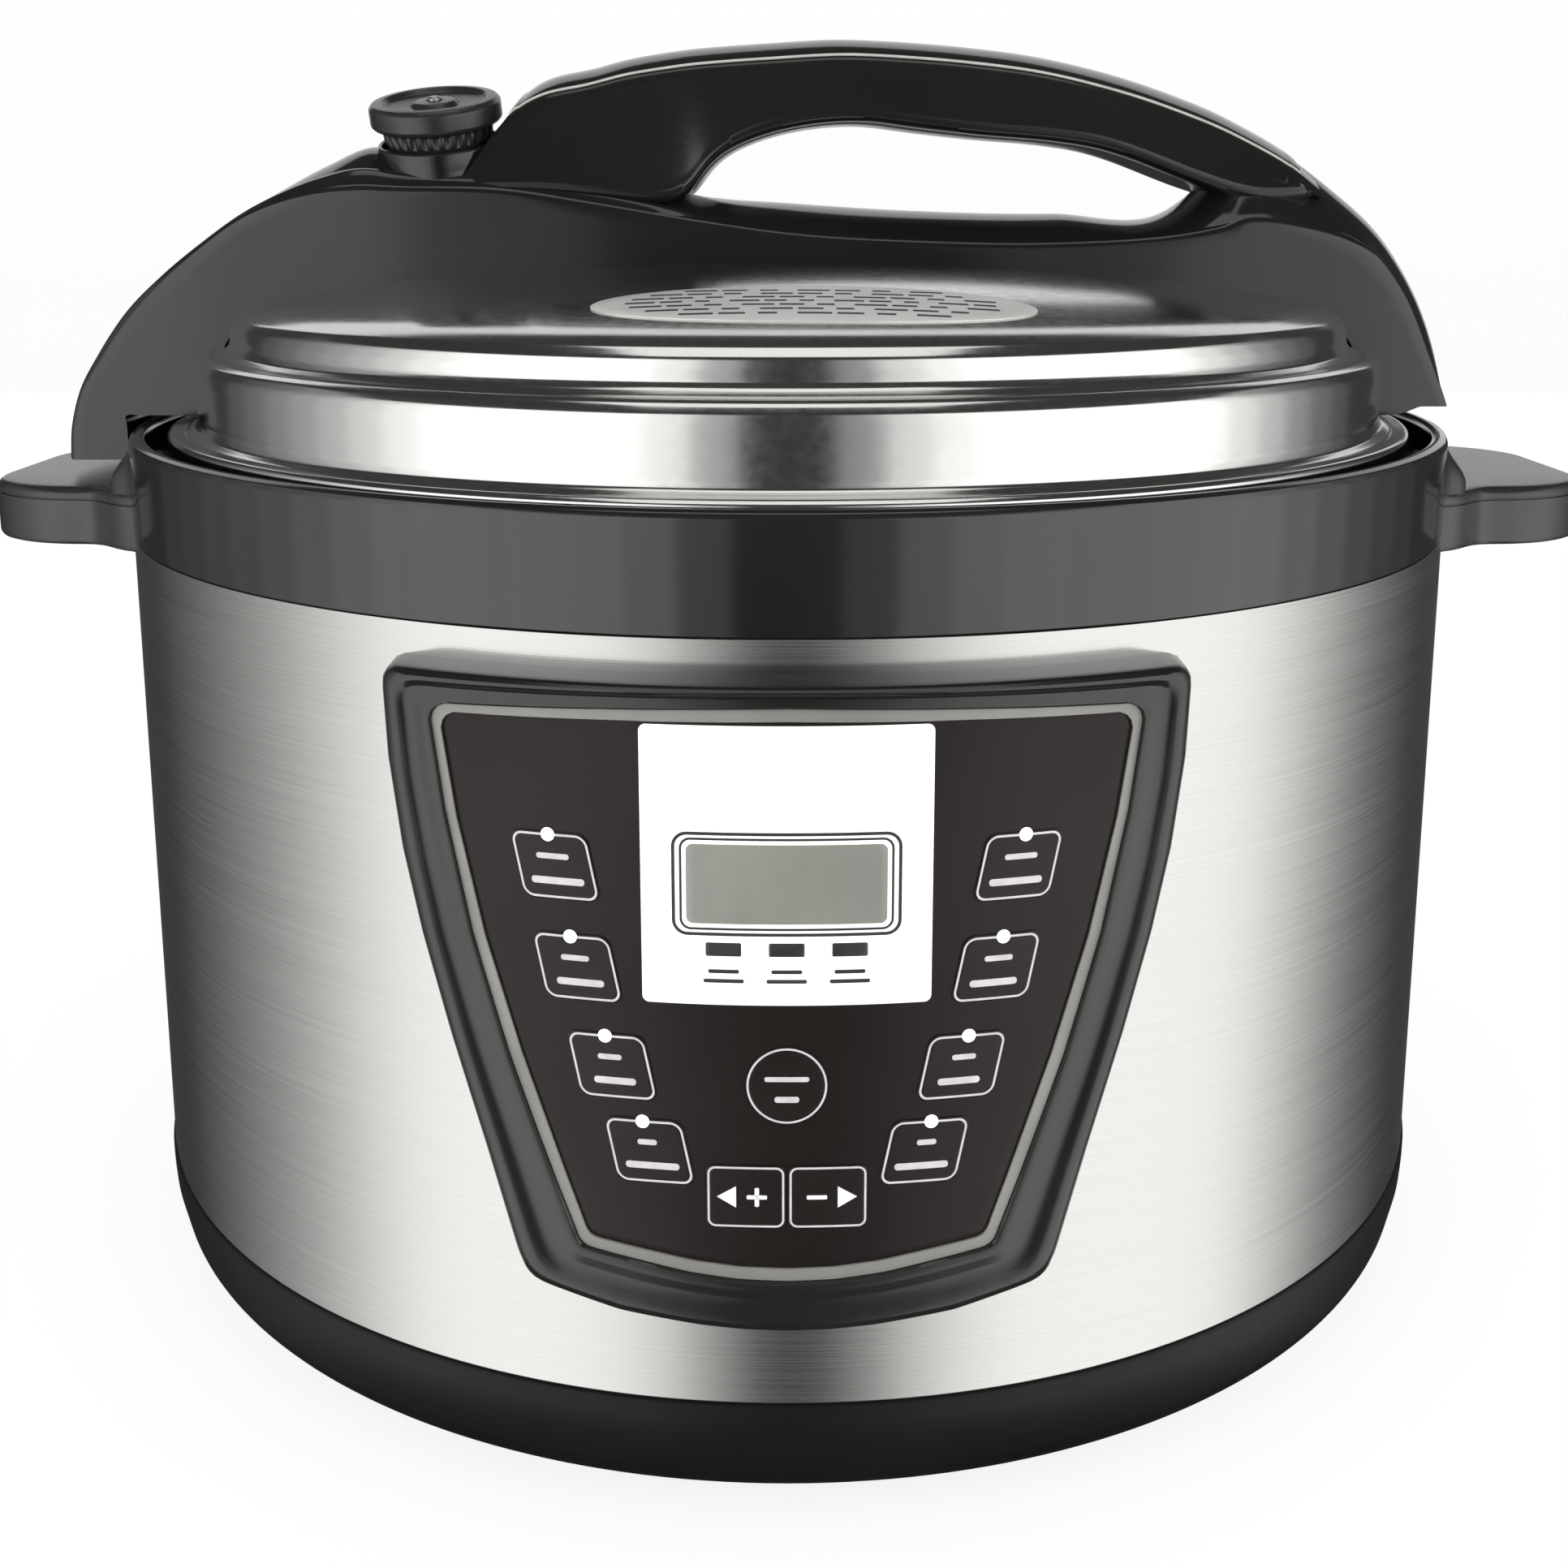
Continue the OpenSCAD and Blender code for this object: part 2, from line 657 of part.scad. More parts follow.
// Stations along the bridge, each as the inner edge, the front edge and the ridge: X and height.
// The arm on the left hangs past the collar, and the one on the right ends above its rim.
bridge = [
    [[-151, 180.8], [-162.9, 180.8], [-168.5, 180.8]],
    [[-151, 188], [-162.4, 188], [-167.4, 188.5]],
    [[-151, 190.9], [-160, 196], [-164.8, 196.8]],
    [[-147, 191], [-154.7, 204], [-161, 204.6]],
    [[-143, 191], [-147.2, 213.7], [-154, 214.6]],
    [[-138, 191], [-139.8, 221], [-145, 222.8]],
    [[-130, 191], [-130.5, 229], [-133.5, 230.8]],
    [[-119, 204], [-119, 236.2], [-120.5, 239.3]],
    [[-106, 205], [-106, 239.7], [-106, 247.3]],
    [[-96, 205], [-96, 240.2], [-96, 251.2]],
    [[-88, 205], [-88, 240.2], [-88, 249.6]],
    [[-64, 205], [-64, 239.8], [-64, 247.4]],
    [[-42, 205], [-42, 236.4], [-42, 245]],
    [[-20, 205], [-20, 233], [-20, 240]],
    [[0, 205], [0, 230], [0, 238.4]],
    [[30, 205], [30, 228.2], [30, 236.6]],
    [[61, 205], [61, 227.9], [61, 236]],
    [[89, 205], [89, 230], [90, 237.4]],
    [[97, 205], [97, 230.4], [97.4, 244]],
    [[103, 205], [103, 230.5], [103, 254.2]],
    [[115, 204], [115, 230.4], [115.2, 249.4]],
    [[124, 204], [125, 228.6], [125.6, 242]],
    [[130, 191], [132.5, 224], [137, 231.8]],
    [[135, 191], [138.3, 216.2], [143.3, 223]],
    [[140, 191.5], [144.9, 202], [149.5, 210]],
    [[144, 193], [149, 193], [153.5, 193]]
];

crown_steps = 6;

// The ring of points around one station, drawn in by the wall thickness g
function station_ring(s, g) =
    let (w = bridge_half - g, e = s[1], t = s[2], i = s[0],
         side = abs(e[0]) > 128 ? sign(e[0]) : 0,
         shift = [-side * g, side == 0 ? -g : -g / 2])
    concat(
        [[i[0], -w, i[1] - g]],
        [for (k = [0:crown_steps])
            let (a = 180 * k / crown_steps)
            [e[0] + (t[0] - e[0]) * sin(a) + shift[0], -w * cos(a),
             e[1] + (t[1] - e[1]) * sin(a) + shift[1]]],
        [[i[0], w, i[1] - g]]);

module bridge_loft(g) {
    rings = [for (s = bridge) station_ring(s, g)];
    n = crown_steps + 3;
    last = len(rings) - 1;
    polyhedron(
        points = [for (r = rings, p = r) p],
        faces = concat(
            [for (j = [1:n - 2]) [0, j + 1, j]],
            [for (j = [1:n - 2]) [last * n, last * n + j, last * n + j + 1]],
            [for (i = [0:last - 1], j = [0:n - 1]) [i * n + j, i * n + (j + 1) % n, (i + 1) * n + j]],
            [for (i = [0:last - 1], j = [0:n - 1])
                [i * n + (j + 1) % n, (i + 1) * n + (j + 1) % n, (i + 1) * n + j]]));
}

module lid_cover()
    color("#2c2b29")
        difference() {
            union() {
                bridge_loft(0);
                leaning() translate([0, 0, -8]) cylinder(r = 13, h = 8.8);
            }
            difference() {
                bridge_loft(cover_wall);
                block([-200, -146], [-50, 50], [150, 300]);
                block([134, 200], [-50, 50], [150, 300]);
                for (x = boss_x) translate([x, 0, 190]) cylinder(r = 4, h = 80);
            }
            lid_envelope(0.1);
            disc(body_r + 1, 150, 190.8);
            translate([valve_x, valve_y, 200]) cylinder(r = pipe_r + 2.5, h = 80);
            translate([float_x, float_y, 200]) cylinder(r = 3.2, h = 80);
            for (x = boss_x) translate([x, 0, 190]) cylinder(r = 1.7, h = dome(abs(x)) + 8 - 190);
        }

module cover_screws()
    color("#a5a5a2")
        for (x = boss_x) translate([x, 0, dome(abs(x) + 3.3) - lid_wall]) {
            translate([0, 0, -1.8]) cylinder(r = 3.2, h = 1.8);
            translate([0, 0, -1]) cylinder(r = 1.7, h = 10);
        }

// Ridge of the grip, from the tip of its left pillar to its right shoulder
grip_ridge = [
    [-62.7, 258.8], [-60.8, 262.8], [-54.9, 266.7], [-45, 268.6], [-37, 270.9], [-21.3, 273.3],
    [-5.5, 274.4], [10.3, 275.3], [26, 274.7], [41.8, 273.4], [57.6, 271.3], [73.4, 267.7],
    [89.2, 262.6], [97.1, 259.6], [105, 255.7], [112.9, 251.5], [120.8, 245.8]
];
// Underside of the grip, from its right foot to its left foot
grip_under = [
    [120.8, 240], [104, 238], [97, 240.5], [92, 242.8], [82, 246.3], [70, 250.2], [56, 252.3],
    [36, 253.6], [14, 256.4], [0, 255], [-9.4, 252.4], [-16.7, 248.4], [-20, 244.4], [-23, 238.6],
    [-60, 241.6]
];
cap_x = [-38, 116];
cap_half = grip_half - 6;

module grip_profile() polygon(concat(grip_ridge, grip_under));

// The band of the grip that its inlay fills
module cap_band(drop)
    polygon(concat(
        [for (p = grip_ridge) if (p[0] > cap_x[0] && p[0] < cap_x[1]) p + [0, 1]],
        [for (i = [len(grip_ridge) - 1:-1:0]) let (p = grip_ridge[i])
            if (p[0] > cap_x[0] && p[0] < cap_x[1]) p - [0, drop]]));

module along_y(half) rotate([90, 0, 0]) translate([0, 0, -half]) linear_extrude(2 * half) children();

module grip_bar()
    color("#2c2b29")
        difference() {
            along_y(grip_half) grip_profile();
            along_y(cap_half) cap_band(cap_t);
            bridge_loft(0);
        }

module grip_cap()
    color("#232220")
        difference() {
            intersection() {
                along_y(cap_half - 0.05) cap_band(cap_t - 0.05);
                along_y(grip_half) grip_profile();
            }
            bridge_loft(0);
        }

// ---------- valves ----------

module vent_pipe()
    color("#b9b9b6")
        translate([valve_x, valve_y, 0]) difference() {
            union() {
                disc(pipe_r, 204, 252);
                disc(12, 214, dome(93) - lid_wall - 0.2);
            }
            disc(1.6, 203, 253);
        }

module steam_filter()
    color("#aeaeaa")
        translate([valve_x, valve_y, 0]) difference() {
            disc(12, 197, 214);
            disc(11, 198, 215);
            for (a = [0:45:135]) rotate(a) block([-20, 20], [-1, 1], [200, 210]);
        }

module float_pin()
    color("#b5483c")
        translate([float_x, float_y, 0]) {
            disc(2.2, 206, 243.6);
            disc(5, 206, 210);
        }

// The knob and its pin lean forward with the slope of the cover
module leaning() translate([valve_x, valve_y, 249.5]) rotate([knob_lean, -3, 0]) children();

module valve_knob()
    color("#2a2928")
        leaning() difference() {
            rotate_extrude()
                polygon([[0, 1.8], [11.6, 1.8], [12.4, 2.6], [12.6, 6.6], [knob_r - 0.6, 7.2], [knob_r, 8],
                         [knob_r, 11.6], [knob_r - 0.8, 12.6], [11.8, 12.8], [10.8, 11.6], [5.4, 11.2],
                         [4.6, 12.4], [0, 12.4]]);
            translate([0, 0, -1]) cylinder(r = pipe_r + 1.6, h = 8);
            translate([0, 0, 4]) cylinder(r = 1.5 + 0.1, h = 12);
        }

module valve_pin()
    color("#b9b9b4")
        leaning() translate([0, 0, 8.2]) cylinder(r = 1.5, h = 5, $fn = 32);

feet();
base_ring();
bottom_plate();
bottom_screws();
outer_shell();
collar();
handle_left();
handle_right();
handle_screws();
pressure_shell();
spring_plate();
heating_plate();
heating_element();
thermostat_sensor();
sensor_spring();
pressure_switch();
thermal_fuse();
power_board();
power_parts();
wiring();
control_board();
lcd_module();
panel_bezel();
panel_border();
key_membrane();
panel_film();
display_window();
lcd_glass();
indicator_bars();
status_leds();
key_left_1();
key_left_2();
key_left_3();
key_left_4();
key_right_1();
key_right_2();
key_right_3();
key_right_4();
key_round();
key_plus();
key_minus();
power_inlet();
inlet_pins();
cup_bracket();
condensate_cup();
inner_pot();
sealing_ring();
lid_liner();
lid_shell();
liner_nut();
lid_label();
lid_cover();
cover_screws();
grip_bar();
grip_cap();
vent_pipe();
steam_filter();
float_pin();
valve_knob();
valve_pin();
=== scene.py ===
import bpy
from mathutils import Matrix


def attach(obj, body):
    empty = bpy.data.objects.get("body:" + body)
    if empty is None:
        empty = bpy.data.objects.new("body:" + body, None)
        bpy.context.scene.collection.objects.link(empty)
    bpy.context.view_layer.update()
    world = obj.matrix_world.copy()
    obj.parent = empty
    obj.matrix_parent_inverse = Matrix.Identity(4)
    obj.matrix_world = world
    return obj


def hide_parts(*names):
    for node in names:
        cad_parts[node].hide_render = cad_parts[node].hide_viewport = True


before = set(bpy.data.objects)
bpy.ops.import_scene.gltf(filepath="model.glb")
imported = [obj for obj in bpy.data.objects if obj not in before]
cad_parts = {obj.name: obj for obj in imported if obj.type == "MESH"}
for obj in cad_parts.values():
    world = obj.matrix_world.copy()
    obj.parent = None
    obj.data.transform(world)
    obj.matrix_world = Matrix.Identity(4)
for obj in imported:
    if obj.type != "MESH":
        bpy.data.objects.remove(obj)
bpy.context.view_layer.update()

import bmesh
import bpy
import numpy as np
from mathutils import Matrix, Vector

# ---------- camera ----------
# Eye a little above the lid, close to the object, looking slightly down; a small downward shift of
# the picture keeps the upright edges nearly parallel.
camera = bpy.data.objects.new("camera", bpy.data.cameras.new("camera"))
camera.location = (0.0009, -0.4629, 0.2397)
camera.rotation_euler = (np.radians(90 - 11.63), 0, 0)
camera.data.sensor_width = 36
camera.data.lens = 44.45
camera.data.shift_x = -0.0052
camera.data.shift_y = -0.12
camera.data.clip_start = 0.01
bpy.context.scene.collection.objects.link(camera)
bpy.context.scene.camera = camera

# ---------- studio ----------
# Soft light comes from two curved walls of lamps, left and right of the camera, that fade to their ends
# and leave a dark gap that the steel mirrors. Others hang behind and above. Floor and wall are one sweep.


def softbox(name, azimuth, distance, height, width, tall, power):
    """Area light facing the axis: centre = distance * (sin a, -cos a) at a height, a = 0 in front."""
    a = np.radians(azimuth)
    lamp = bpy.data.objects.new(name, bpy.data.lights.new(name, "AREA"))
    lamp.data.shape = "RECTANGLE"
    lamp.data.size, lamp.data.size_y, lamp.data.energy = width, tall, power
    lamp.location = (distance * np.sin(a), -distance * np.cos(a), height)
    aim = Vector((0, 0, min(height, 0.12) if height < 1 else 0.12)) - lamp.location
    lamp.rotation_euler = aim.to_track_quat("-Z", "Y").to_euler()
    lamp.visible_camera = False
    bpy.context.scene.collection.objects.link(lamp)


for azimuth, level in zip(range(-118, 119, 8), (0.04, 0.08, 0.15, 0.23, 0.35, 0.52, 0.74, 0.92, 1, 1, 1, 0.95, 0.75, 0.3,
                                                0, 0, 0.2, 0.6, 0.85, 1, 1, 1, 1, 1, 0.9, 0.64, 0.4, 0.2, 0.09, 0.04)):
    if level > 0:
        softbox(f"light_strip_{azimuth + 118}", azimuth + 2, 1.0, 0.0, 0.141, 1.6, 1.15 * level)
softbox("light_back", 180, 1.7, 0.8, 2.6, 1.4, 9)
softbox("light_top", 0, 0.25, 1.7, 1.2, 1.2, 5)

world = bpy.data.worlds.new("studio")
world.use_nodes = True
world.node_tree.nodes["Background"].inputs["Color"].default_value = (0.045, 0.045, 0.043, 1)
world.node_tree.nodes["Background"].inputs["Strength"].default_value = 1.0
bpy.context.scene.world = world
bpy.context.scene.view_settings.view_transform = "Standard"

sweep_profile = np.array([[0, 0], [2.6, 0], [2.95, 0.1], [3.2, 0.35], [3.3, 0.7], [3.3, 3.5]])
turn = np.radians(np.linspace(0, 360, 97))
sweep_points = np.stack([np.outer(np.sin(turn), sweep_profile[:, 0]), np.outer(np.cos(turn), sweep_profile[:, 0]),
                         np.tile(sweep_profile[:, 1], (97, 1))], -1)
corner = np.arange(97 * 6).reshape(97, 6)
sweep_mesh = bpy.data.meshes.new("studio_floor")
sweep_mesh.from_pydata(sweep_points.reshape(-1, 3).tolist(), [], np.stack(
    [corner[:-1, :-1], corner[:-1, 1:], corner[1:, 1:], corner[1:, :-1]], -1).reshape(-1, 4).tolist())
sweep_mesh.shade_smooth()
studio_floor = bpy.data.objects.new("studio_floor", sweep_mesh)
studio_floor.visible_glossy = False
bpy.context.scene.collection.objects.link(studio_floor)
floor_paint = bpy.data.materials.new("floor_paint")
floor_paint.use_nodes = True
paint = floor_paint.node_tree.nodes["Principled BSDF"].inputs
paint["Base Color"].default_value = (0.2, 0.2, 0.2, 1)
paint["Roughness"].default_value = 0.9
paint["Specular IOR Level"].default_value = 0.0
paint["Emission Color"].default_value = (1, 1, 1, 1)
paint["Emission Strength"].default_value = 0.84
sweep_mesh.materials.append(floor_paint)

# ---------- feet and bottom ----------
# Four round rubber feet pushed into the base ring, and a slotted steel plate held by four screws.
# All of them are the CAD's own shapes; the feet and the screws have their edges eased.


def surface(name, dark, light, rough, patch=30, grain=900, bump=0.1, stretch=(1, 1, 1), **sockets):
    """A surface whose colour drifts from dark to light with a wide noise, and whose roughness and
    relief follow a fine one, both in Object coordinates stretched by a factor for each axis."""
    made = bpy.data.materials.new(name)
    made.use_nodes = True
    tree, shader = made.node_tree, made.node_tree.nodes["Principled BSDF"]
    where, scaled = tree.nodes.new("ShaderNodeTexCoord"), tree.nodes.new("ShaderNodeMapping")
    scaled.inputs["Scale"].default_value = stretch
    tree.links.new(where.outputs["Object"], scaled.inputs["Vector"])
    noises = []
    for size, detail in ((patch, 4), (grain, 3)):
        noise = tree.nodes.new("ShaderNodeTexNoise")
        noise.inputs["Scale"].default_value = size
        noise.inputs["Detail"].default_value = detail
        tree.links.new(scaled.outputs["Vector"], noise.inputs["Vector"])
        noises.append(noise)
    tint = tree.nodes.new("ShaderNodeValToRGB")
    tint.color_ramp.elements[0].position, tint.color_ramp.elements[1].position = 0.3, 0.7
    tint.color_ramp.elements[0].color = (*dark, 1)
    tint.color_ramp.elements[1].color = (*light, 1)
    tree.links.new(noises[0].outputs["Fac"], tint.inputs["Fac"])
    tree.links.new(tint.outputs["Color"], shader.inputs["Base Color"])
    spread = tree.nodes.new("ShaderNodeMapRange")
    spread.inputs["From Min"].default_value, spread.inputs["From Max"].default_value = 0.3, 0.7
    spread.inputs["To Min"].default_value, spread.inputs["To Max"].default_value = rough
    tree.links.new(noises[1].outputs["Fac"], spread.inputs["Value"])
    tree.links.new(spread.outputs["Result"], shader.inputs["Roughness"])
    relief = tree.nodes.new("ShaderNodeBump")
    relief.inputs["Strength"].default_value = bump
    relief.inputs["Distance"].default_value = 0.0002
    tree.links.new(noises[1].outputs["Fac"], relief.inputs["Height"])
    tree.links.new(relief.outputs["Normal"], shader.inputs["Normal"])
    for socket, value in sockets.items():
        shader.inputs[socket.replace("_", " ")].default_value = value
    return made


def finish_cad(material, *nodes, ease=0.0003):
    """Gives CAD nodes a material and eased edges; the nodes themselves stay as they are."""
    for node in nodes:
        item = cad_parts[node]
        item.data.materials.clear()
        item.data.materials.append(material)
        if ease:
            edge = item.modifiers.new("eased_edges", "BEVEL")
            edge.width, edge.segments, edge.limit_method, edge.angle_limit = ease, 2, "ANGLE", np.radians(50)
            edge.use_clamp_overlap = True


rubber = surface("foot_rubber", (0.012, 0.012, 0.012), (0.03, 0.03, 0.029), (0.6, 0.85), 120, 2600, 0.35)
zinc = surface("zinc_plate", (0.42, 0.42, 0.41), (0.6, 0.6, 0.58), (0.3, 0.5), 60, 1400, 0.12, Metallic=1.0)
screw_steel = surface("screw_steel", (0.4, 0.4, 0.4), (0.58, 0.58, 0.57), (0.22, 0.42), 300, 2500, 0.2, Metallic=1.0)
finish_cad(rubber, "feet", ease=0.0005)
finish_cad(zinc, "bottom_plate", "spring_plate", ease=0)
finish_cad(screw_steel, "bottom_screws", "handle_screws", "cover_screws", ease=0.0002)

# ---------- base ring ----------
# Moulded black tray that carries the feet and the sleeve. Its wall rolls under at the bottom and ends
# in a fine lip against the sleeve.


def build(name, grids, body, material, stands_for=(), crease=32):
    """One mesh from grids of points P[i, j] in metres: faces join P[i, j], P[i+1, j], P[i+1, j+1] and
    P[i, j+1], equal points are merged, and the normals are turned outward."""
    points, quads, spread, first = [], [], [], 0
    for grid in grids:
        rows, columns = grid.shape[:2]
        order = first + np.arange(rows * columns).reshape(rows, columns)
        quads.append(np.stack([order[:-1, :-1], order[1:, :-1], order[1:, 1:], order[:-1, 1:]], -1).reshape(-1, 4))
        points.append(grid.reshape(-1, 3))
        across = np.stack(np.meshgrid(np.linspace(0, 1, rows), np.linspace(0, 1, columns), indexing="ij"), -1)
        spread.append(across.reshape(-1, 2))
        first += rows * columns
    points, quads, spread = np.concatenate(points), np.concatenate(quads), np.concatenate(spread)
    mesh = bpy.data.meshes.new(name)
    mesh.from_pydata(points.tolist(), [], quads.tolist())
    chart = mesh.uv_layers.new(name="chart")
    chart.data.foreach_set("uv", spread[quads.ravel()].ravel())
    work = bmesh.new()
    work.from_mesh(mesh)
    bmesh.ops.remove_doubles(work, verts=work.verts, dist=2e-6)
    bmesh.ops.dissolve_degenerate(work, edges=work.edges, dist=1e-7)
    bmesh.ops.recalc_face_normals(work, faces=work.faces)
    work.to_mesh(mesh)
    work.free()
    mesh.shade_smooth()
    mesh.set_sharp_from_angle(angle=np.radians(crease))
    mesh.materials.append(material)
    piece = bpy.data.objects.new(name, mesh)
    bpy.context.scene.collection.objects.link(piece)
    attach(piece, body)
    if stands_for:
        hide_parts(*stands_for)
    return piece


def rounded(corners, cut, steps=6):
    """An open line whose inner corners c become curves (1-t)^2 a + 2t(1-t) c + t^2 b, where a and b
    lie `cut` before and after the corner."""
    corners = np.array(corners, float)
    cuts = np.broadcast_to(cut, len(corners))
    t = np.linspace(0, 1, steps)[:, None]
    parts = [corners[:1]]
    for before, here, after, size in zip(corners[:-2], corners[1:-1], corners[2:], cuts[1:-1]):
        a = here + (before - here) * min(size / np.linalg.norm(before - here), 0.49)
        b = here + (after - here) * min(size / np.linalg.norm(after - here), 0.49)
        parts.append((1 - t) ** 2 * a + 2 * t * (1 - t) * here + t ** 2 * b)
    return np.concatenate([*parts, corners[-1:]])


def revolve(profile, steps=240):
    """An (r, z) line in millimetres turned about Z: x = r sin a, y = r cos a."""
    a = np.radians(np.linspace(0, 360, steps + 1))
    r, z = np.array(profile).T / 1000
    return np.stack([np.outer(np.sin(a), r), np.outer(np.cos(a), r), np.tile(z, (steps + 1, 1))], -1)


base_black = surface("base_black", (0.005, 0.005, 0.005), (0.008, 0.008, 0.0078), (0.3, 0.4), 25, 1800, 0.06,
                     Specular_IOR_Level=0.16)
arc = np.radians(np.linspace(-90, -12, 14))
base_profile = np.concatenate([
    [[88, 5]], np.stack([140 + 9 * np.cos(arc), 14 + 9 * np.sin(arc)], -1),
    rounded([[150.2, 18.5], [150.45, 22.2], [150.5, 25.6], [150, 26.2], [149.35, 26.2], [149.3, 30.2], [147.1, 30.2],
             [147.1, 20.2], [144, 10], [141, 8], [88, 8], [88, 5]], 0.35)])
build("base_tray", [revolve(base_profile)], "base", base_black, ["base_ring"])

# ---------- sleeve ----------
# Thin stainless sheet rolled into a cylinder and brushed round the body, so that its grain runs level.
# Its edges sit in the base ring and under the collar.
brushed = surface("brushed_steel", (0.51, 0.505, 0.49), (0.57, 0.565, 0.55), (0.16, 0.22), 1, 1, 0.02,
                  (14, 14, 4200), Metallic=1.0, Anisotropic=0.75)
around_z = brushed.node_tree.nodes.new("ShaderNodeTangent")
around_z.direction_type, around_z.axis = "RADIAL", "Z"
brushed.node_tree.links.new(around_z.outputs["Tangent"], brushed.node_tree.nodes["Principled BSDF"].inputs["Tangent"])
build("steel_sleeve", [revolve(rounded([[149.4, 26.3], [149.4, 167.8], [149.95, 167.8], [150, 167.6], [150, 26.6],
                                        [149.95, 26.3], [149.4, 26.3]], 0.1, 4), 288)],
      "base", brushed, ["outer_shell"])

# ---------- collar ----------
# Satin black moulded ring over the sleeve's top, with a rounded rim and a gutter inside it that the
# lid's skirt drops into.
satin_black = surface("satin_black", (0.009, 0.0088, 0.0082), (0.013, 0.0127, 0.012), (0.09, 0.13), 18, 2400, 0.01,
                      Specular_IOR_Level=0.75)
build("collar_ring", [revolve(rounded(
    [[131.4, 168], [147.4, 168], [147.4, 160], [149.3, 160], [149.3, 167.9], [149.9, 167.95], [150, 168.3],
     [150, 187.8], [149.5, 188.9], [148.4, 189.4], [147.6, 189.4], [146.7, 189], [146.3, 188], [146.3, 171.4],
     [145.9, 171], [131.4, 171], [131.4, 168]], 0.25), 288)], "base", satin_black, ["collar"])

# ---------- side handles ----------
# Two flat moulded grips screwed to the collar from inside. Each has rounded corners, a hollow under it
# for the fingertips, a fine parting line under its top edge, and a swelling where it meets the collar.


def handle_grid(side):
    """Grid along the grip's outline (rows) and round its section (columns). A column holds an inset d
    and a height z: the point is outline - d * normal, and the ends run back to the collar's circle."""
    corner_turn = np.radians(np.linspace(90, 0, 20))
    half = np.concatenate([
        rounded([[141.6, 49], [146, 47], [150.5, 42.3], [154, 39.4], [158, 39]], 3, 6),
        np.stack([158 + 25 * np.cos(corner_turn), 14 + 25 * np.sin(corner_turn)], -1)])
    line = np.concatenate([half, [[183, 7], [183, 0], [183, -7]], half[::-1] * [1, -1]])
    step = np.gradient(line, axis=0)
    normal = np.stack([-step[:, 1], step[:, 0]], -1) / np.linalg.norm(step, axis=1)[:, None]
    normal *= np.sign((normal * (line - [150, 0])).sum(1))[:, None]
    section = np.array([[3.5, 173.5, 1], [3.5, 173.5, 0], [3.5, 172.6, 0], [3.3, 165.2, 0], [3, 164.4, 0],
                        [2.4, 164, 0], [1.2, 164, 0], [0.5, 164.25, 0], [0.12, 164.8, 0], [0, 165.6, 0],
                        [0, 173.4, 0], [0.02, 174, 0], [0.45, 174.15, 0], [0.45, 174.45, 0], [0.06, 174.6, 0],
                        [0.2, 175.4, 0], [0.75, 176.3, 0], [1.6, 176.85, 0], [2.8, 177, 0], [3.2, 177, 1]])
    flat = line[:, None] - normal[:, None] * section[None, :, :1]
    x, y = flat[..., 0], flat[..., 1]
    wall = np.sqrt(149.9 ** 2 - np.clip(y, -60, 60) ** 2)
    x = np.where(section[None, :, 2] > 0, wall, np.maximum(x, wall))
    z = np.broadcast_to(section[None, :, 1], x.shape)
    return np.stack([side * x, side * y, z], -1) / 1000


def swelling_grid(side):
    """Low boss on the collar: radius 149.9 + 4.6 b(|y|) b(z), where b eases from 0 to 1 over the
    boss's edges, as t^2 (3 - 2t)."""
    a, z = np.meshgrid(np.linspace(-19.2, 19.2, 60), np.linspace(164.2, 187.2, 28), indexing="ij")
    y = 150 * np.sin(np.radians(a))
    across, up = np.clip((49 - abs(y)) / 7, 0, 1), np.clip((187.2 - z) / 9, 0, 1)
    r = 149.9 + 4.6 * across ** 2 * (3 - 2 * across) * up ** 2 * (3 - 2 * up)
    return np.stack([side * r * np.cos(np.radians(a)), side * r * np.sin(np.radians(a)), z], -1) / 1000


grip_plastic = surface("handle_black", (0.014, 0.0138, 0.013), (0.022, 0.0216, 0.02), (0.24, 0.34), 40, 2600, 0.08,
                       Specular_IOR_Level=0.7)
for side, node in ((1, "handle_right"), (-1, "handle_left")):
    build("grip_" + node[7:], [handle_grid(side), swelling_grid(side)], "base", grip_plastic, [node])

# ---------- control panel ----------
# A curved black frame stands on the sleeve. Inside it lie a grey border and a glossy dark film.
# Outlines are front views, X and height in millimetres, wrapped on cylinders about the axis.


def round_panel(half, turns):
    """Points of a closed outline in given directions from (0, 108), from its right half."""
    half = np.array(half, float)
    line = np.concatenate([half, half[::-1] * [-1, 1], half[:1]])
    along = np.concatenate([[0], np.cumsum(np.linalg.norm(np.diff(line, axis=0), axis=1))])
    fine = np.linspace(0, along[-1], 6000)
    x, z = np.interp(fine, along, line[:, 0]), np.interp(fine, along, line[:, 1]) - 108
    heading = np.arctan2(x, z)
    order = np.argsort(heading)
    reach = np.interp(turns, heading[order], np.hypot(x, z)[order], period=2 * np.pi)
    return np.stack([reach * np.sin(turns), 108 + reach * np.cos(turns)], -1)


def wrapped(flat, radius):
    """(X, height) on a cylinder of a radius about the axis: y = -sqrt(radius^2 - X^2)."""
    x, z, radius = np.broadcast_arrays(flat[..., 0], flat[..., 1], radius)
    return np.stack([x, -np.sqrt(radius ** 2 - x ** 2), z], -1) / 1000


def band(outer, inner, section):
    """A ring between two outlines: section rows are s and radius, and a point is outer + s (inner - outer)."""
    section = np.array(section, float)
    flat = outer[:, None] + (inner - outer)[:, None] * section[None, :, :1]
    return wrapped(flat, section[None, :, 1])


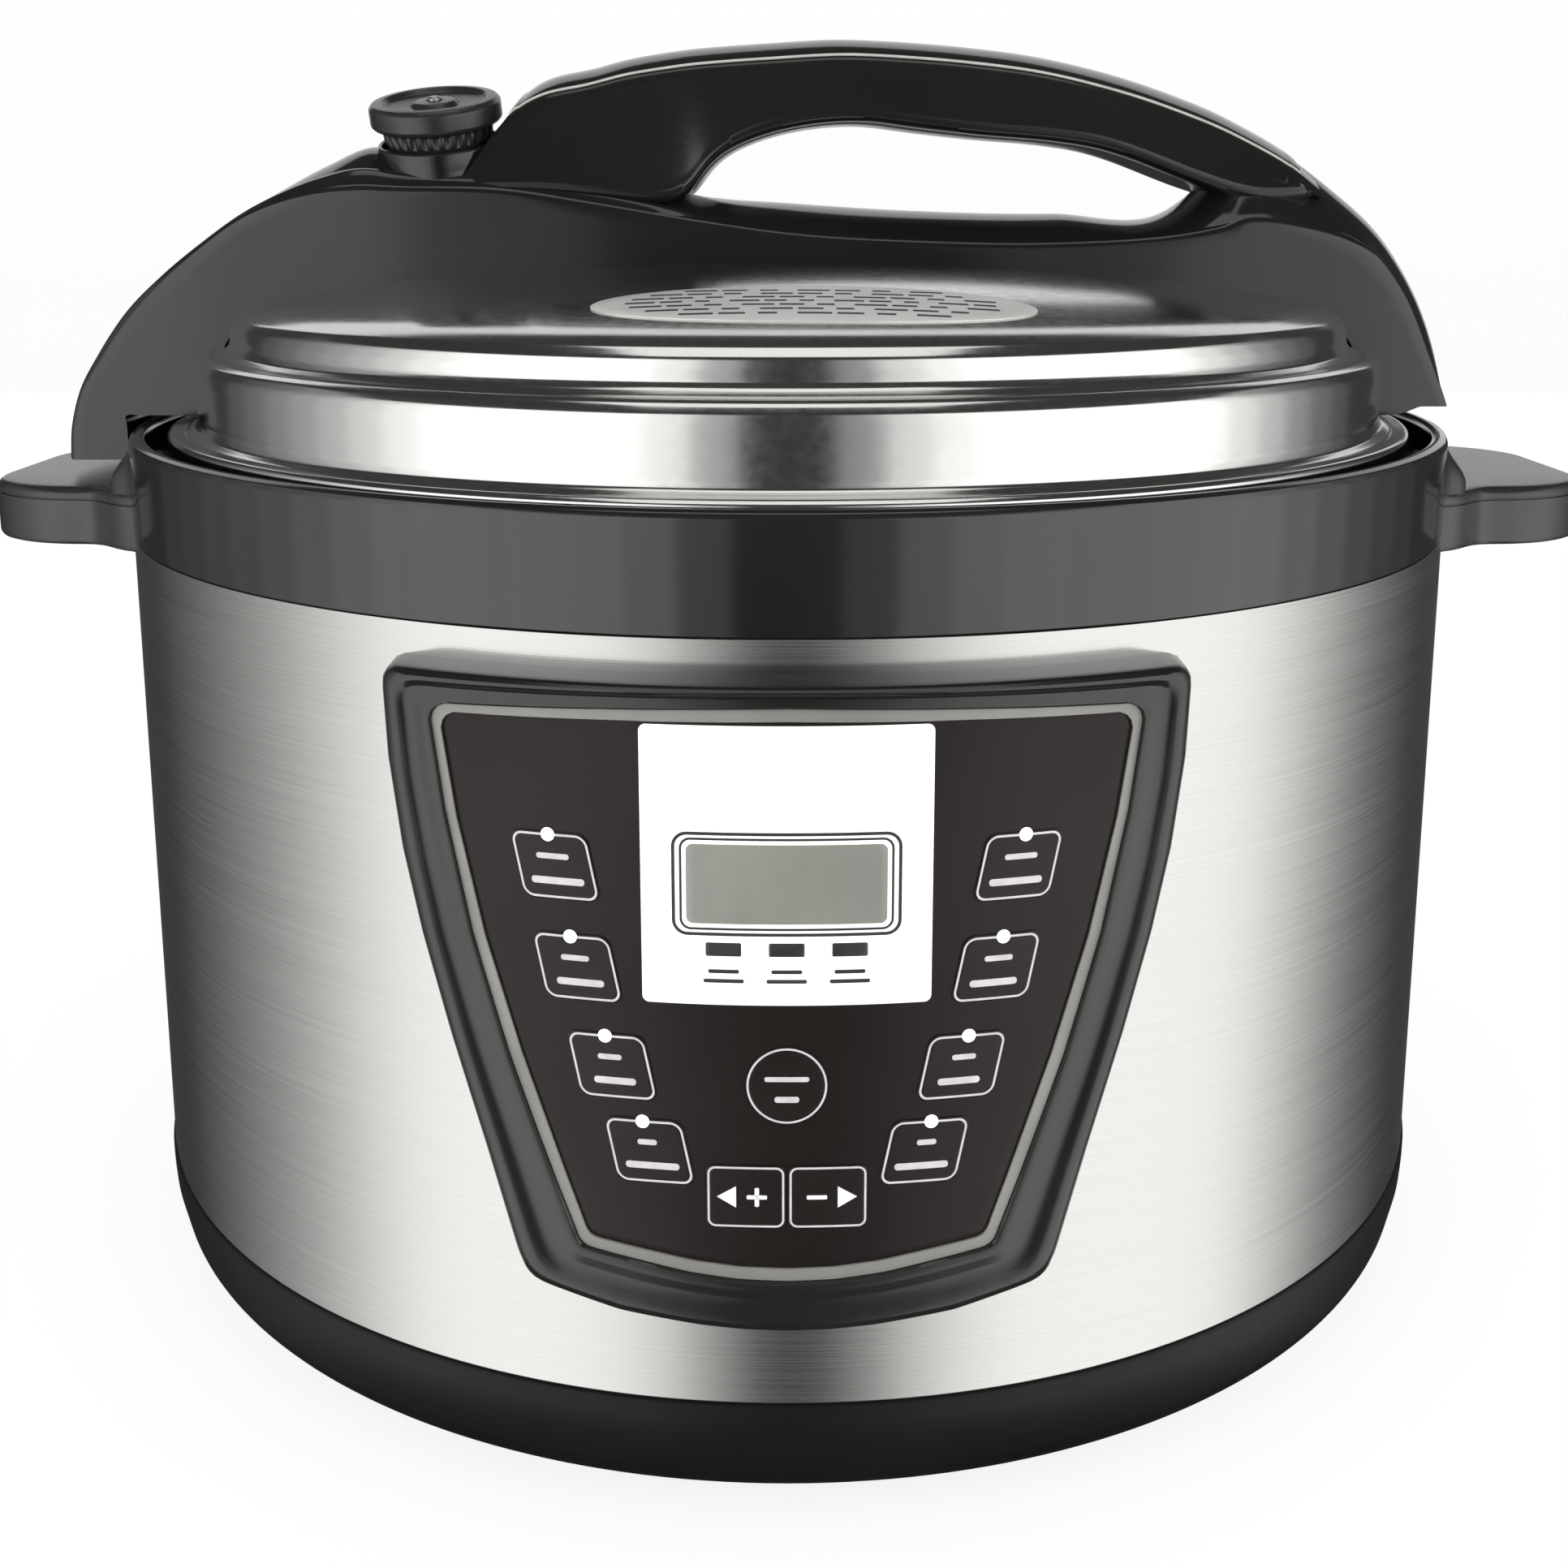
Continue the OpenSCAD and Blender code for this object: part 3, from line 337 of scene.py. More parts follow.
def plate(outline, back, front, ease=0.25, rings=14, place=wrapped):
    """A low closed plate: its outline rises from `back` to `front`, eases inward, then closes to its
    middle m in rings m + (1 - t)(outline - m)."""
    middle = (outline.max(0) + outline.min(0)) / 2
    reach = np.linalg.norm(outline - middle, axis=1, keepdims=True)
    eased = middle + (outline - middle) * (1 - ease / np.maximum(reach, 2 * ease))
    t = np.linspace(0, 1, rings)[None, :, None]
    flat = np.concatenate([(middle + 0 * outline)[:, None], outline[:, None], outline[:, None], eased[:, None],
                           eased[:, None] + (middle - eased[:, None]) * t[:, 1:]], 1)
    level = np.concatenate([[back, back, front - 0.4 * min(ease, front - back)], np.full(rings, front)])
    return place(flat, level[None, :])


headings = np.linspace(-np.pi, np.pi, 361)
bend_in = lambda cx, cz, r, a0, a1: [[cx + r * np.cos(a), cz + r * np.sin(a)] for a in np.radians(np.linspace(a0, a1, 7))]
frame_edge = round_panel([[0, 162], *bend_in(66.2, 159, 3, 90, 0), [68.7, 146], [66.7, 130], [63.6, 115], [58.9, 97],
                          [52.9, 76.4], [47.6, 57], *bend_in(42.2, 57, 5, 0, -70), [29.5, 48.7], [15, 47],
                          [7, 46.45], [0, 46.3]], headings)
film_line = [[0, 156], [30, 155.6], *bend_in(55.4, 152, 3, 80, 0), [56.2, 136.8], [51.7, 115.9], [45.7, 95.2],
             [38.3, 73.3], [35.6, 65.6], *bend_in(32.3, 65, 3, 0, -76), [24, 60.6], [16, 59.2], [8, 58.35], [0, 58.1]]
film_edge = round_panel(film_line, headings)
film_out = film_edge - [0, 108]
border_edge = film_edge + 2.3 * film_out / np.linalg.norm(film_out, axis=1, keepdims=True)
bezel_black = surface("bezel_black", (0.009, 0.0088, 0.0085), (0.014, 0.0137, 0.013), (0.16, 0.22), 30, 2200, 0.01,
                      Specular_IOR_Level=0.6)
build("panel_frame", [band(frame_edge, border_edge, [
    [0, 150], [0, 157], [0.025, 158.5], [0.08, 159.5], [0.17, 159.95], [0.25, 160], [0.33, 159.85], [0.42, 159.35],
    [0.5, 159.05], [0.58, 158.95], [0.68, 159.05], [0.82, 159.35], [0.92, 159.45], [0.97, 159.3], [1, 158.8],
    [1, 154.6], [1, 151.5], [0, 150]])], "base", bezel_black, ["panel_bezel"])
border_grey = surface("border_grey", (0.2, 0.2, 0.18), (0.26, 0.26, 0.24), (0.35, 0.5), 60, 2400, 0.1, Metallic=0.3)
build("panel_edge_line", [band(border_edge, film_edge, [
    [0, 155], [0, 158.3], [0.06, 158.48], [0.94, 158.48], [1, 158.3], [1, 155], [0, 155]])],
    "base", border_grey, ["panel_border"])
film_black = surface("film_black", (0.012, 0.0085, 0.008), (0.016, 0.0115, 0.011), (0.2, 0.28), 25, 1500, 0.01,
                     Specular_IOR_Level=0.18)
build("panel_sheet", [plate(film_edge, 155.5, 158, 0.2, 24)], "base", film_black, ["panel_film"])

# ---------- display ----------
# White printed window with a glass for the figures, framed by two fine lines, and three lamps under it.
# The white print is given a faint glow, which is painted light.


def rounded_box(x0, x1, z0, z1, r, slant=0.0, steps=9):
    """Closed outline of a box with round corners; slant moves each point sideways by slant per mm of height."""
    turns = np.radians(np.linspace(0, 90, steps))
    parts = [np.stack([cx + r * np.cos(turns + q), cz + r * np.sin(turns + q)], -1) for cx, cz, q in
             ((x1 - r, z1 - r, 0), (x0 + r, z1 - r, np.pi / 2), (x0 + r, z0 + r, np.pi), (x1 - r, z0 + r, -np.pi / 2))]
    sides = [np.linspace(a[-1], b[0], 22)[1:-1] for a, b in zip(parts, parts[1:] + parts[:1])]
    line = np.concatenate([piece for pair in zip(parts, sides) for piece in pair] + [parts[0][:1]])
    line[:, 0] += slant * (line[:, 1] - (z0 + z1) / 2)
    return line


def hoop(box, width, low, high, slant=0.0):
    """A raised line of some width along a rounded box, inside it."""
    x0, x1, z0, z1, r = box
    inside = rounded_box(x0 + width, x1 - width, z0 + width, z1 - width, max(r - width, 0.2), slant)
    return band(rounded_box(*box, slant), inside, [[0, low], [0, high], [1, high], [1, low], [0, low]])


# Emission 0.28 on the white print is painted light: the print glows though it is no lamp.
glowing_white_print = surface("display_white", (0.86, 0.86, 0.85), (0.93, 0.93, 0.92), (0.25, 0.4), 40, 1500, 0.03,
                      Emission_Color=(1, 1, 1, 1), Emission_Strength=0.28)
ink_dark = surface("ink_dark", (0.015, 0.015, 0.015), (0.03, 0.03, 0.03), (0.4, 0.6), 300, 2500, 0.1)
lcd_grey = surface("lcd_grey", (0.2, 0.2, 0.18), (0.25, 0.25, 0.225), (0.12, 0.2), 60, 2000, 0.03,
                   Coat_Weight=0.4, Coat_Roughness=0.1)
window_line = rounded_box(-24.4, 24.4, 106.6, 155.2, 0.8)
build("window_sheet", [plate(rounded_box(-24.4, 24.4, 106.6, 155.2, 1.2), 157.9, 158.06, 0.1, 24)],
      "base", glowing_white_print, ["display_window"])
build("lcd_face", [plate(rounded_box(-16.8, 16.8, 121, 134.9, 1.2), 158, 158.1, 0.1, 16)],
      "base", lcd_grey, ["lcd_glass"])
build("window_print", [hoop((-19.2, 19.2, 118.9, 137, 2.6), 0.55, 158.04, 158.12),
                       hoop((-17.9, 17.9, 119.9, 136, 1.9), 0.4, 158.04, 158.12)] +
      [plate(rounded_box(x - w, x + w, z - 0.35, z + 0.35, 0.3), 158.04, 158.1, 0.05, 6)
       for x in (-10.6, 0, 10.6) for z, w in ((112.6, 2.6), (110.9, 3.4))],
      "base", ink_dark)
lamp_dark = surface("lamp_dark", (0.02, 0.02, 0.019), (0.04, 0.04, 0.037), (0.15, 0.25), 200, 2000, 0.05)
build("lamp_windows", [plate(rounded_box(x - 3, x + 3, 115.3, 117.7, 0.3), 158, 158.15, 0.15, 8)
                       for x in (-10.6, 0, 10.6)], "base", lamp_dark, ["indicator_bars"])

# ---------- keys ----------
# Eleven caps of the film's own colour stand a third of a millimetre proud. Each carries a printed line
# round it and short printed bars; a slanted cap also has a round light in the middle of its top line.


def on_key(points, angle, height):
    """Moves an outline from a cap's own centre to its angle round the panel, in degrees, and height."""
    x = 158 * np.sin(np.radians(angle) + points[:, 0] / 158)
    return np.stack([x, points[:, 1] + height], -1)


key_black = surface("key_black", (0.0125, 0.009, 0.0085), (0.017, 0.0125, 0.012), (0.22, 0.3), 60, 2000, 0.01,
                    Specular_IOR_Level=0.2)
print_lilac = surface("print_lilac", (0.5, 0.46, 0.49), (0.62, 0.58, 0.61), (0.4, 0.55), 300, 2500, 0.05)
print_white = surface("print_white", (0.75, 0.75, 0.74), (0.86, 0.86, 0.85), (0.4, 0.55), 300, 2500, 0.05)
led_white = surface("led_white", (0.9, 0.9, 0.88), (1, 1, 1), (0.2, 0.3), 400, 2500, 0.05,
                    Emission_Color=(1, 1, 0.96, 1), Emission_Strength=1.2)
low, high = 157.9, 158.35


def cap(node, angle, height, outline, marks, mark_finish):
    """One key: its cap, which stands for the CAD node, and its print as low plates on the cap."""
    face = on_key(outline, angle, height)
    build(node + "_cap", [plate(face, low, high, 0.25, 8)], node, key_black, [node])
    build(node + "_print", [plate(on_key(m, angle, height), high - 0.02, high + 0.05, 0.04, 4)
                            if not isinstance(m, tuple) else
                            band(on_key(m[0], angle, height), on_key(m[1], angle, height),
                                 [[0, high - 0.02], [0, high + 0.05], [1, high + 0.05], [1, high - 0.02],
                                  [0, high - 0.02]]) for m in marks], node, mark_finish)


def box_line(w, h, r, slant, inset, width):
    """The two edges of a printed line inside a w by h cap."""
    a, b = inset, inset + width
    return (rounded_box(-w / 2 + a, w / 2 - a, -h / 2 + a, h / 2 - a, r, slant),
            rounded_box(-w / 2 + b, w / 2 - b, -h / 2 + b, h / 2 - b, max(r - width, 0.3), slant))


for side, name in ((-1, "left"), (1, "right")):
    for i, (angle, height) in enumerate(zip((14.3, 13, 10.9, 8.6), (129.7, 111.9, 94.5, 79.3))):
        slant = side * 2.4 / 11.8
        node, bars = f"key_{name}_{i + 1}", [(1.7, 1, 2.9 - 0.4 * i), (-2.6, 1.25, 4.7 - 0.5 * (i % 3))]
        marks = [box_line(13.8, 11.8, 1.9, slant, 0.25, 0.38)] + [
            rounded_box(slant * z - w, slant * z + w, z - t / 2, z + t / 2, t * 0.45) for z, t, w in bars]
        cap(node, side * angle, height, rounded_box(-6.9, 6.9, -5.9, 5.9, 1.8, slant), marks, print_lilac)
        turns = np.linspace(0, 2 * np.pi, 33)
        dot = np.stack([1.2 * np.cos(turns) + slant * 5.5, 1.2 * np.sin(turns) + 5.5], -1)
        build(node + "_light", [plate(on_key(dot, side * angle, height), high, high + 0.15, 0.3, 6)],
              node, led_white)

turns = np.linspace(0, 2 * np.pi, 65)
circle = np.stack([np.cos(turns), np.sin(turns)], -1)
cap("key_round", 0, 92.2, 7 * circle, [(6.85 * circle, 6.5 * circle)] + [
    rounded_box(-w, w, z - t / 2, z + t / 2, t * 0.45) for z, t, w in ((1.2, 0.9, 3.8), (-2.5, 1.1, 2.1))], print_lilac)
arrow = np.array([[-1, 0], [0.75, 1.05], [0.75, -1.05], [-1, 0]])
arrow = np.concatenate([np.linspace(a, b, 9)[:-1] for a, b in zip(arrow[:-1], arrow[1:])] + [arrow[:1]])
for side, node in ((-1, "key_plus"), (1, "key_minus")):
    sign = [rounded_box(side * -1.9 - 1.75, side * -1.9 + 1.75, -0.38, 0.38, 0.2)]
    if node == "key_plus":
        sign.append(rounded_box(1.9 - 0.38, 1.9 + 0.38, -1.75, 1.75, 0.2))
    head = arrow * [-side * 1.9, 1.9] + [side * 3.1, 0]
    cap(node, side * 2.56, 71.6, rounded_box(-6.8, 6.8, -5.8, 5.8, 1.2), sign + [head], print_white)
    frame_line = box_line(13.6, 11.6, 1.4, 0, 0.2, 0.36)
    build(node + "_line", [band(on_key(frame_line[0], side * 2.56, 71.6), on_key(frame_line[1], side * 2.56, 71.6),
                                [[0, high - 0.02], [0, high + 0.05], [1, high + 0.05], [1, high - 0.02],
                                 [0, high - 0.02]])], node, print_lilac)

# ---------- parts behind the panel ----------
# Key membrane, control board, display module and light diodes, stacked behind the film.
board_green = surface("board_green", (0.01, 0.07, 0.025), (0.03, 0.15, 0.05), (0.3, 0.5), 220, 1600, 0.2, Coat_Weight=0.5)
finish_cad(surface("membrane", (0.1, 0.12, 0.105), (0.15, 0.17, 0.15), (0.5, 0.7), 80, 2200, 0.2), "key_membrane", ease=0)
finish_cad(board_green, "control_board", "power_board", "lcd_module", ease=0.0002)
finish_cad(led_white, "status_leds", ease=0)

# ---------- lid ----------
# One polished stainless pressing: shallow dome, step, ledge with a groove, upright wall, flange with a
# fine groove, and a skirt with bayonet lugs that drops inside the collar.


def dome(r):
    """Height of the lid's top at a radius: 225 - 10 (r / 126)^2.9."""
    return 225 - 10 * (np.maximum(r, 0) / 126) ** 2.9


polished = surface("polished_steel", (0.66, 0.655, 0.64), (0.74, 0.735, 0.72), (0.13, 0.18), 14, 500, 0.006, Metallic=1.0)
top_r = np.linspace(0, 120, 44)
lid_rim = rounded([
    [123, 215.4], [125.6, 214.1], [127, 212.5], [127.6, 210.3], [127.6, 208.5], [128.4, 207], [130, 206.2], [131, 205.9],
    [132.4, 205.9], [133.9, 205.1], [134.9, 203.5], [135.3, 201.3], [135.3, 192.2], [135.9, 190.5], [137.2, 189.85],
    [137.8, 189.5], [138.4, 189.85], [141, 189.85], [141.9, 189], [141.9, 174], [140.7, 174], [140.7, 188.6],
    [134.1, 188.7], [134.1, 203.4], [132.7, 204.8], [126.4, 205.4], [126.4, 212.2], [122, dome(122) - 1.2]], 0.55)
inner_r = np.linspace(120, 0, 20)
lid_profile = np.concatenate([np.stack([top_r, dome(top_r)], -1), lid_rim,
                              np.stack([inner_r, dome(inner_r) - 1.2], -1)])


def lug_grid(middle, r0, r1, z0, z1, half):
    """A curved block: columns go round its section and rows along its arc, closed at both ends."""
    a = np.radians(middle + np.concatenate([[-half], np.linspace(-half, half, 12), [half]]))
    ring = np.array([[r0, z0], [r1, z0], [r1, z1], [r0, z1], [r0, z0]]) / 1000
    grid = np.stack([np.outer(np.sin(a), ring[:, 0]), np.outer(np.cos(a), ring[:, 0]),
                     np.tile(ring[:, 1], (len(a), 1))], -1)
    grid[0], grid[-1] = grid[0, :4].mean(0), grid[-1, :4].mean(0)
    return grid


build("lid_pressing", [revolve(lid_profile, 288)] + [lug_grid(45 * i, 132.6, 141, 174, 177, 10) for i in range(8)] +
      [revolve([[0, 188.02], [3.7, 188.02], [4, 188.4], [4, 222], [4, 223.8]], 48)],
      "lid", polished, ["lid_shell"], 38)

# ---------- lid label ----------
# Oval silver sticker on the front of the dome, with rows of small printed bars.


def on_dome(flat, level):
    """(x, y) on the lid's dome, raised by a level in millimetres."""
    x, y, level = np.broadcast_arrays(flat[..., 0], flat[..., 1], level)
    return np.stack([x, y, dome(np.hypot(x, y)) + level], -1) / 1000


sticker = surface("label_silver", (0.62, 0.62, 0.6), (0.72, 0.72, 0.7), (0.3, 0.42), 60, 1800, 0.05, Metallic=0.35)
oval = circle * [42, 17] + [5, -96]
build("label_sheet", [plate(oval, 0.02, 0.35, 0.2, 14, on_dome)], "lid", sticker, ["lid_label"])
bars = []
for row, y in enumerate(np.linspace(-107, -85, 7)):
    reach = 36 * np.sqrt(1 - ((y + 96) / 15.5) ** 2)
    cuts = np.linspace(-reach, reach, max(int(reach / 3), 3))
    bars += [plate(rounded_box(5 + a + 0.5, 5 + b - 0.4 - 1.4 * ((row * 3 + k) % 3), y - 0.62, y + 0.62, 0.3), 0.33, 0.4, 0.05, 4,
                   on_dome) for k, (a, b) in enumerate(zip(cuts[:-1], cuts[1:]))]
build("label_print", bars, "lid", ink_dark)

# ---------- bridge cover ----------
# Black moulding that spans the lid and hides its screws. Its two arms reach past the lid; the left one
# hangs over the collar. A rolled edge and a groove run along the top of its front and back faces.


def through(points, count):
    """`count` points on a smooth curve through the given ones: between two of them a cubic with the
    slopes found by central differences over chord length."""
    points = np.array(points, float)
    flat = points.reshape(len(points), -1)
    along = np.concatenate([[0], np.cumsum(np.linalg.norm(np.diff(flat, axis=0), axis=1))])
    slope = np.gradient(flat, along, axis=0)
    u = np.linspace(0, along[-1], count)
    i = np.clip(np.searchsorted(along, u, side="right") - 1, 0, len(flat) - 2)
    span = (along[i + 1] - along[i])[:, None]
    w = (u - along[i])[:, None] / span
    made = ((2 * w ** 3 - 3 * w ** 2 + 1) * flat[i] + (w ** 3 - 2 * w ** 2 + w) * span * slope[i]
            + (3 * w ** 2 - 2 * w ** 3) * flat[i + 1] + (w ** 3 - w ** 2) * span * slope[i + 1])
    return made.reshape(count, *points.shape[1:])


def lid_height(r):
    """Height of the lid's outer face, or of the air just over the collar's rim, at a radius."""
    return np.interp(r, [0, *top_r[1:], 123, 125.6, 127, 127.6, 130, 132.4, 134.9, 135.3, 135.31, 141.9, 141.91, 151, 151.2],
                     [225, *dome(top_r[1:]), 215.4, 214.1, 212.5, 210.3, 206.2, 205.9, 203.5, 201.3, 190.2, 190, 189.9, 189.9,
                      150])


stations = [
    [[-151, 180.8], [-162.9, 180.8], [-168.5, 180.8]], [[-151, 188], [-162.4, 188], [-167.4, 188.5]],
    [[-151, 190.9], [-160, 196], [-164.8, 196.8]], [[-147, 191], [-154.7, 204], [-161, 204.6]],
    [[-143, 191], [-147.2, 213.7], [-154, 214.6]], [[-138, 191], [-139.8, 221], [-145, 222.8]],
    [[-130, 191], [-130.5, 229], [-133.5, 230.8]], [[-119, 204], [-119, 236.2], [-120.5, 239.3]],
    [[-106, 205], [-106, 239.7], [-106, 247.3]], [[-96, 205], [-96, 240.2], [-96, 251.2]],
    [[-88, 205], [-88, 240.2], [-88, 249.6]], [[-64, 205], [-64, 239.8], [-64, 247.4]],
    [[-42, 205], [-42, 236.4], [-42, 245]], [[-20, 205], [-20, 233], [-20, 240]],
    [[0, 205], [0, 230], [0, 238.4]], [[30, 205], [30, 228.2], [30, 236.6]],
    [[61, 205], [61, 227.9], [61, 236]], [[89, 205], [89, 230], [90, 237.4]],
    [[97, 205], [97, 230.4], [97.4, 244]], [[103, 205], [103, 230.5], [103, 254.2]],
    [[115, 204], [115, 230.4], [115.2, 249.4]], [[124, 204], [125, 228.6], [125.6, 242]],
    [[130, 191], [132.5, 224], [137, 231.8]], [[135, 191], [138.3, 216.2], [143.3, 223]],
    [[140, 191.5], [144.9, 202], [149.5, 210]], [[144, 193], [149, 193], [153.5, 193]]]
path = through(stations, 420)
inner, edge, ridge = path[:, 0], path[:, 1], path[:, 2]
half_crown = np.concatenate([np.linspace(0, 8, 41), np.linspace(8.6, 22, 14)])
crown = np.concatenate([half_crown, 44 - half_crown[-2::-1]]) - 22
near = 22 - abs(crown)
bow = 0.4 * np.sqrt(np.clip(1 - (crown / 22) ** 2, 0, 1)) + 0.6 * (1 - (crown / 22) ** 2)
bead = 0.75 * np.exp(-((near - 0.7) / 0.6) ** 2)
furrow = -1.5 * np.exp(-((near - 2.4) / 0.75) ** 2) + 0.5 * np.exp(-((near - 4.4) / 1) ** 2)
rise = ridge - edge
away = rise / np.linalg.norm(rise, axis=1, keepdims=True)
left_part = 1 / (1 + np.exp((edge[:, :1] + 27) / 3))
top_x, top_z = (edge[:, k:k + 1] + rise[:, k:k + 1] * bow + away[:, k:k + 1] * (bead + left_part * furrow) for k in (0, 1))
top_y = np.tile(crown, (len(path), 1))
floor_y = np.linspace(22, -22, 9)
floor_z = np.maximum(inner[:, 1:], np.where(abs(inner[:, :1]) < 145, lid_height(np.hypot(inner[:, :1], floor_y)) - 0.3, 0))
up = np.linspace(0, 1, 9)[1:-1]
front = [inner[:, :1] + (edge - inner)[:, :1] * up, np.full((len(path), 7), -22.0), floor_z[:, -1:] + (edge[:, 1:] - floor_z[:, -1:]) * up]
rear = [front[0][:, ::-1], -front[1], (floor_z[:, :1] + (edge[:, 1:] - floor_z[:, :1]) * up)[:, ::-1]]
around = [np.concatenate(parts, 1) for parts in zip(
    (np.tile(inner[:, :1], (1, 9)), np.tile(floor_y, (len(path), 1)), floor_z), front, (top_x, top_y, top_z), rear,
    (inner[:, :1], np.full((len(path), 1), 22.0), floor_z[:, :1]))]
loft = np.stack(around, -1) / 1000
tips = [np.stack([loft[k], np.broadcast_to(loft[k].mean(0), loft[k].shape)]) for k in (0, -1)]
cover_black = surface("cover_black", (0.008, 0.0078, 0.0074), (0.012, 0.0117, 0.011), (0.1, 0.15), 20, 1500, 0.006,
                      Specular_IOR_Level=0.65)
cover = build("bridge_cover", [loft, *tips], "lid", cover_black, ["lid_cover"], 40)
# The float pin's hole is drilled through the cover.
drill_work = bmesh.new()
bmesh.ops.create_cone(drill_work, cap_ends=True, segments=48, radius1=0.0032, radius2=0.0032, depth=0.05,
                      matrix=Matrix.Translation((-0.106, 0.012, 0.24)))
drill = bpy.data.objects.new("float_drill", bpy.data.meshes.new("float_drill"))
drill_work.to_mesh(drill.data)
drill_work.free()
bpy.context.scene.collection.objects.link(drill)
hole = cover.modifiers.new("float_hole", "BOOLEAN")
hole.operation, hole.solver, hole.object = "DIFFERENCE", "EXACT", drill
drilled = bpy.data.meshes.new_from_object(cover.evaluated_get(bpy.context.evaluated_depsgraph_get()))
cover.modifiers.clear()
cover.data = drilled
bpy.data.objects.remove(drill)

# ---------- grip ----------
# The bar that the hand goes round rises from the cover at the left and runs down into its right
# shoulder. A glossy inlay fills its top; along its lower edge runs a thin light-grey bead whose colour is a painted
# highlight.
spine = [
    [[-62.7, 258.8], [-76, 240]], [[-60.8, 262.8], [-68, 240]], [[-54.9, 266.7], [-59, 240]], [[-45, 268.6], [-48, 239.5]],
    [[-37, 270.9], [-38, 238.6]], [[-29, 272.2], [-29, 238]], [[-25, 272.8], [-23.4, 238.6]], [[-21.3, 273.3], [-20.5, 242.8]],
    [[-17, 273.6], [-17.6, 247]], [[-12, 274], [-13, 250.2]], [[-5.5, 274.4], [-6, 253]], [[2, 274.9], [2, 255]],
    [[10.3, 275.3], [13.7, 256.2]], [[26, 274.7], [29, 254.6]], [[41.8, 273.4], [44, 253]], [[57.6, 271.3], [59, 251.8]],
    [[73.4, 267.7], [72, 249.6]], [[83, 264.8], [82, 246.2]], [[89.2, 262.6], [88, 243.8]], [[97.1, 259.6], [96, 241]],
    [[105, 255.7], [105, 238.6]], [[112.9, 251.5], [113, 238.8]], [[120.8, 245.8], [120.5, 239.6]]]
bar = through(spine, 260)
soften = np.hanning(23) / np.hanning(23).sum()
bar[11:-11] = np.stack([np.convolve(column, soften, "valid") for column in bar.reshape(260, 4).T], -1).reshape(-1, 2, 2)
down = bar[:, 1] - bar[:, 0]
depth = np.linalg.norm(down, axis=1, keepdims=True)
half_y = np.array([0, 3, 6, 9, 12, 14, 14.6, 14.9, 15.2, 15.8, 17.8, 18.6, 18.9, 18.5, 17.2, 13, 6, 0])
from_top = np.array([0.8, 1, 1.5, 2.3, 3.4, 4.4, 4.75, 5.1, 5.8, 7.2, -5, -3.4, -2.1, -1.1, -0.4, -0.1, 0, 0])
fall = np.where(from_top[None, :10].size and np.arange(18)[None] < 10, from_top[None], depth + from_top[None])
fall = np.minimum(np.maximum.accumulate(fall, axis=1), depth)
half_bar = bar[:, :1] + (down / depth)[:, None] * fall[..., None]
half_bar = np.concatenate([half_bar, half_bar[:, ::-1]], 1)
bar_y = np.broadcast_to(np.concatenate([-half_y, half_y[::-1]]), half_bar.shape[:2])
bar_loft = np.stack([half_bar[..., 0], bar_y, half_bar[..., 1]], -1) / 1000
bar_tips = [np.stack([bar_loft[k], np.broadcast_to(bar_loft[k].mean(0), bar_loft[k].shape)]) for k in (0, -1)]
build("grip_handle", [bar_loft, *bar_tips], "lid", cover_black, ["grip_bar"], 40)
gloss_black = surface("inlay_black", (0.009, 0.009, 0.0088), (0.014, 0.014, 0.0135), (0.08, 0.13), 20, 1200, 0.006,
                      Specular_IOR_Level=0.6)
inlay_y = np.array([0, 4, 8, 11, 13, 14.2, 14.55, 14.6, 14.3])
inlay_drop = np.array([0, 0.28, 1.13, 2.15, 3, 3.6, 3.85, 4.2, 4.5])
reach = bar[(bar[:, 0, 0] > -61.5) & (bar[:, 0, 0] < 116)]
lean = ((reach[:, 1] - reach[:, 0]) / np.linalg.norm(reach[:, 1] - reach[:, 0], axis=1, keepdims=True))[:, None]
inlay = reach[:, :1] + lean * np.concatenate([inlay_drop[::-1], inlay_drop[1:]])[None, :, None]
inlay_side = np.broadcast_to(np.concatenate([-inlay_y[::-1], inlay_y[1:]]), inlay.shape[:2])
inlay = np.stack([inlay[..., 0], inlay_side, inlay[..., 1]], -1) / 1000
under = inlay + [0, 0, -0.0006]
build("grip_inlay", [np.concatenate([inlay, under[:, ::-1], inlay[:, :1]], 1)] + [
    np.stack([inlay[k], under[k]]) for k in (0, -1)], "lid", gloss_black, ["grip_cap"], 40)
bead_turn = np.linspace(0, 2 * np.pi, 13)
# Thin light-grey bead along the inlay's lower edge: its light colour is a painted highlight of the edge catching light.
painted_highlight_edge = surface("painted_highlight_edge", (0.4, 0.4, 0.37), (0.5, 0.5, 0.47), (0.25, 0.35), 200, 2000, 0.05)
seam = reach[:, 0] + lean[:, 0] * 4.35
build("grip_painted_highlight_line", [np.stack([
    seam[:, None, 0] + 0 * bead_turn, s * (14.75 + 0.32 * np.cos(bead_turn)) + 0 * seam[:, :1],
    seam[:, None, 1] + 0.32 * np.sin(bead_turn)], -1) / 1000 for s in (-1, 1)], "lid", painted_highlight_edge)

# ---------- steam valve ----------
# Black turn knob on the vent pipe, left of the grip: a ribbed neck, a wide disc with a ring recess,
# and a small steel pin in its middle. It leans a little with the slope of the cover.
knob_lean = Matrix.Rotation(np.radians(-3), 3, "Y") @ Matrix.Rotation(np.radians(15), 3, "X")


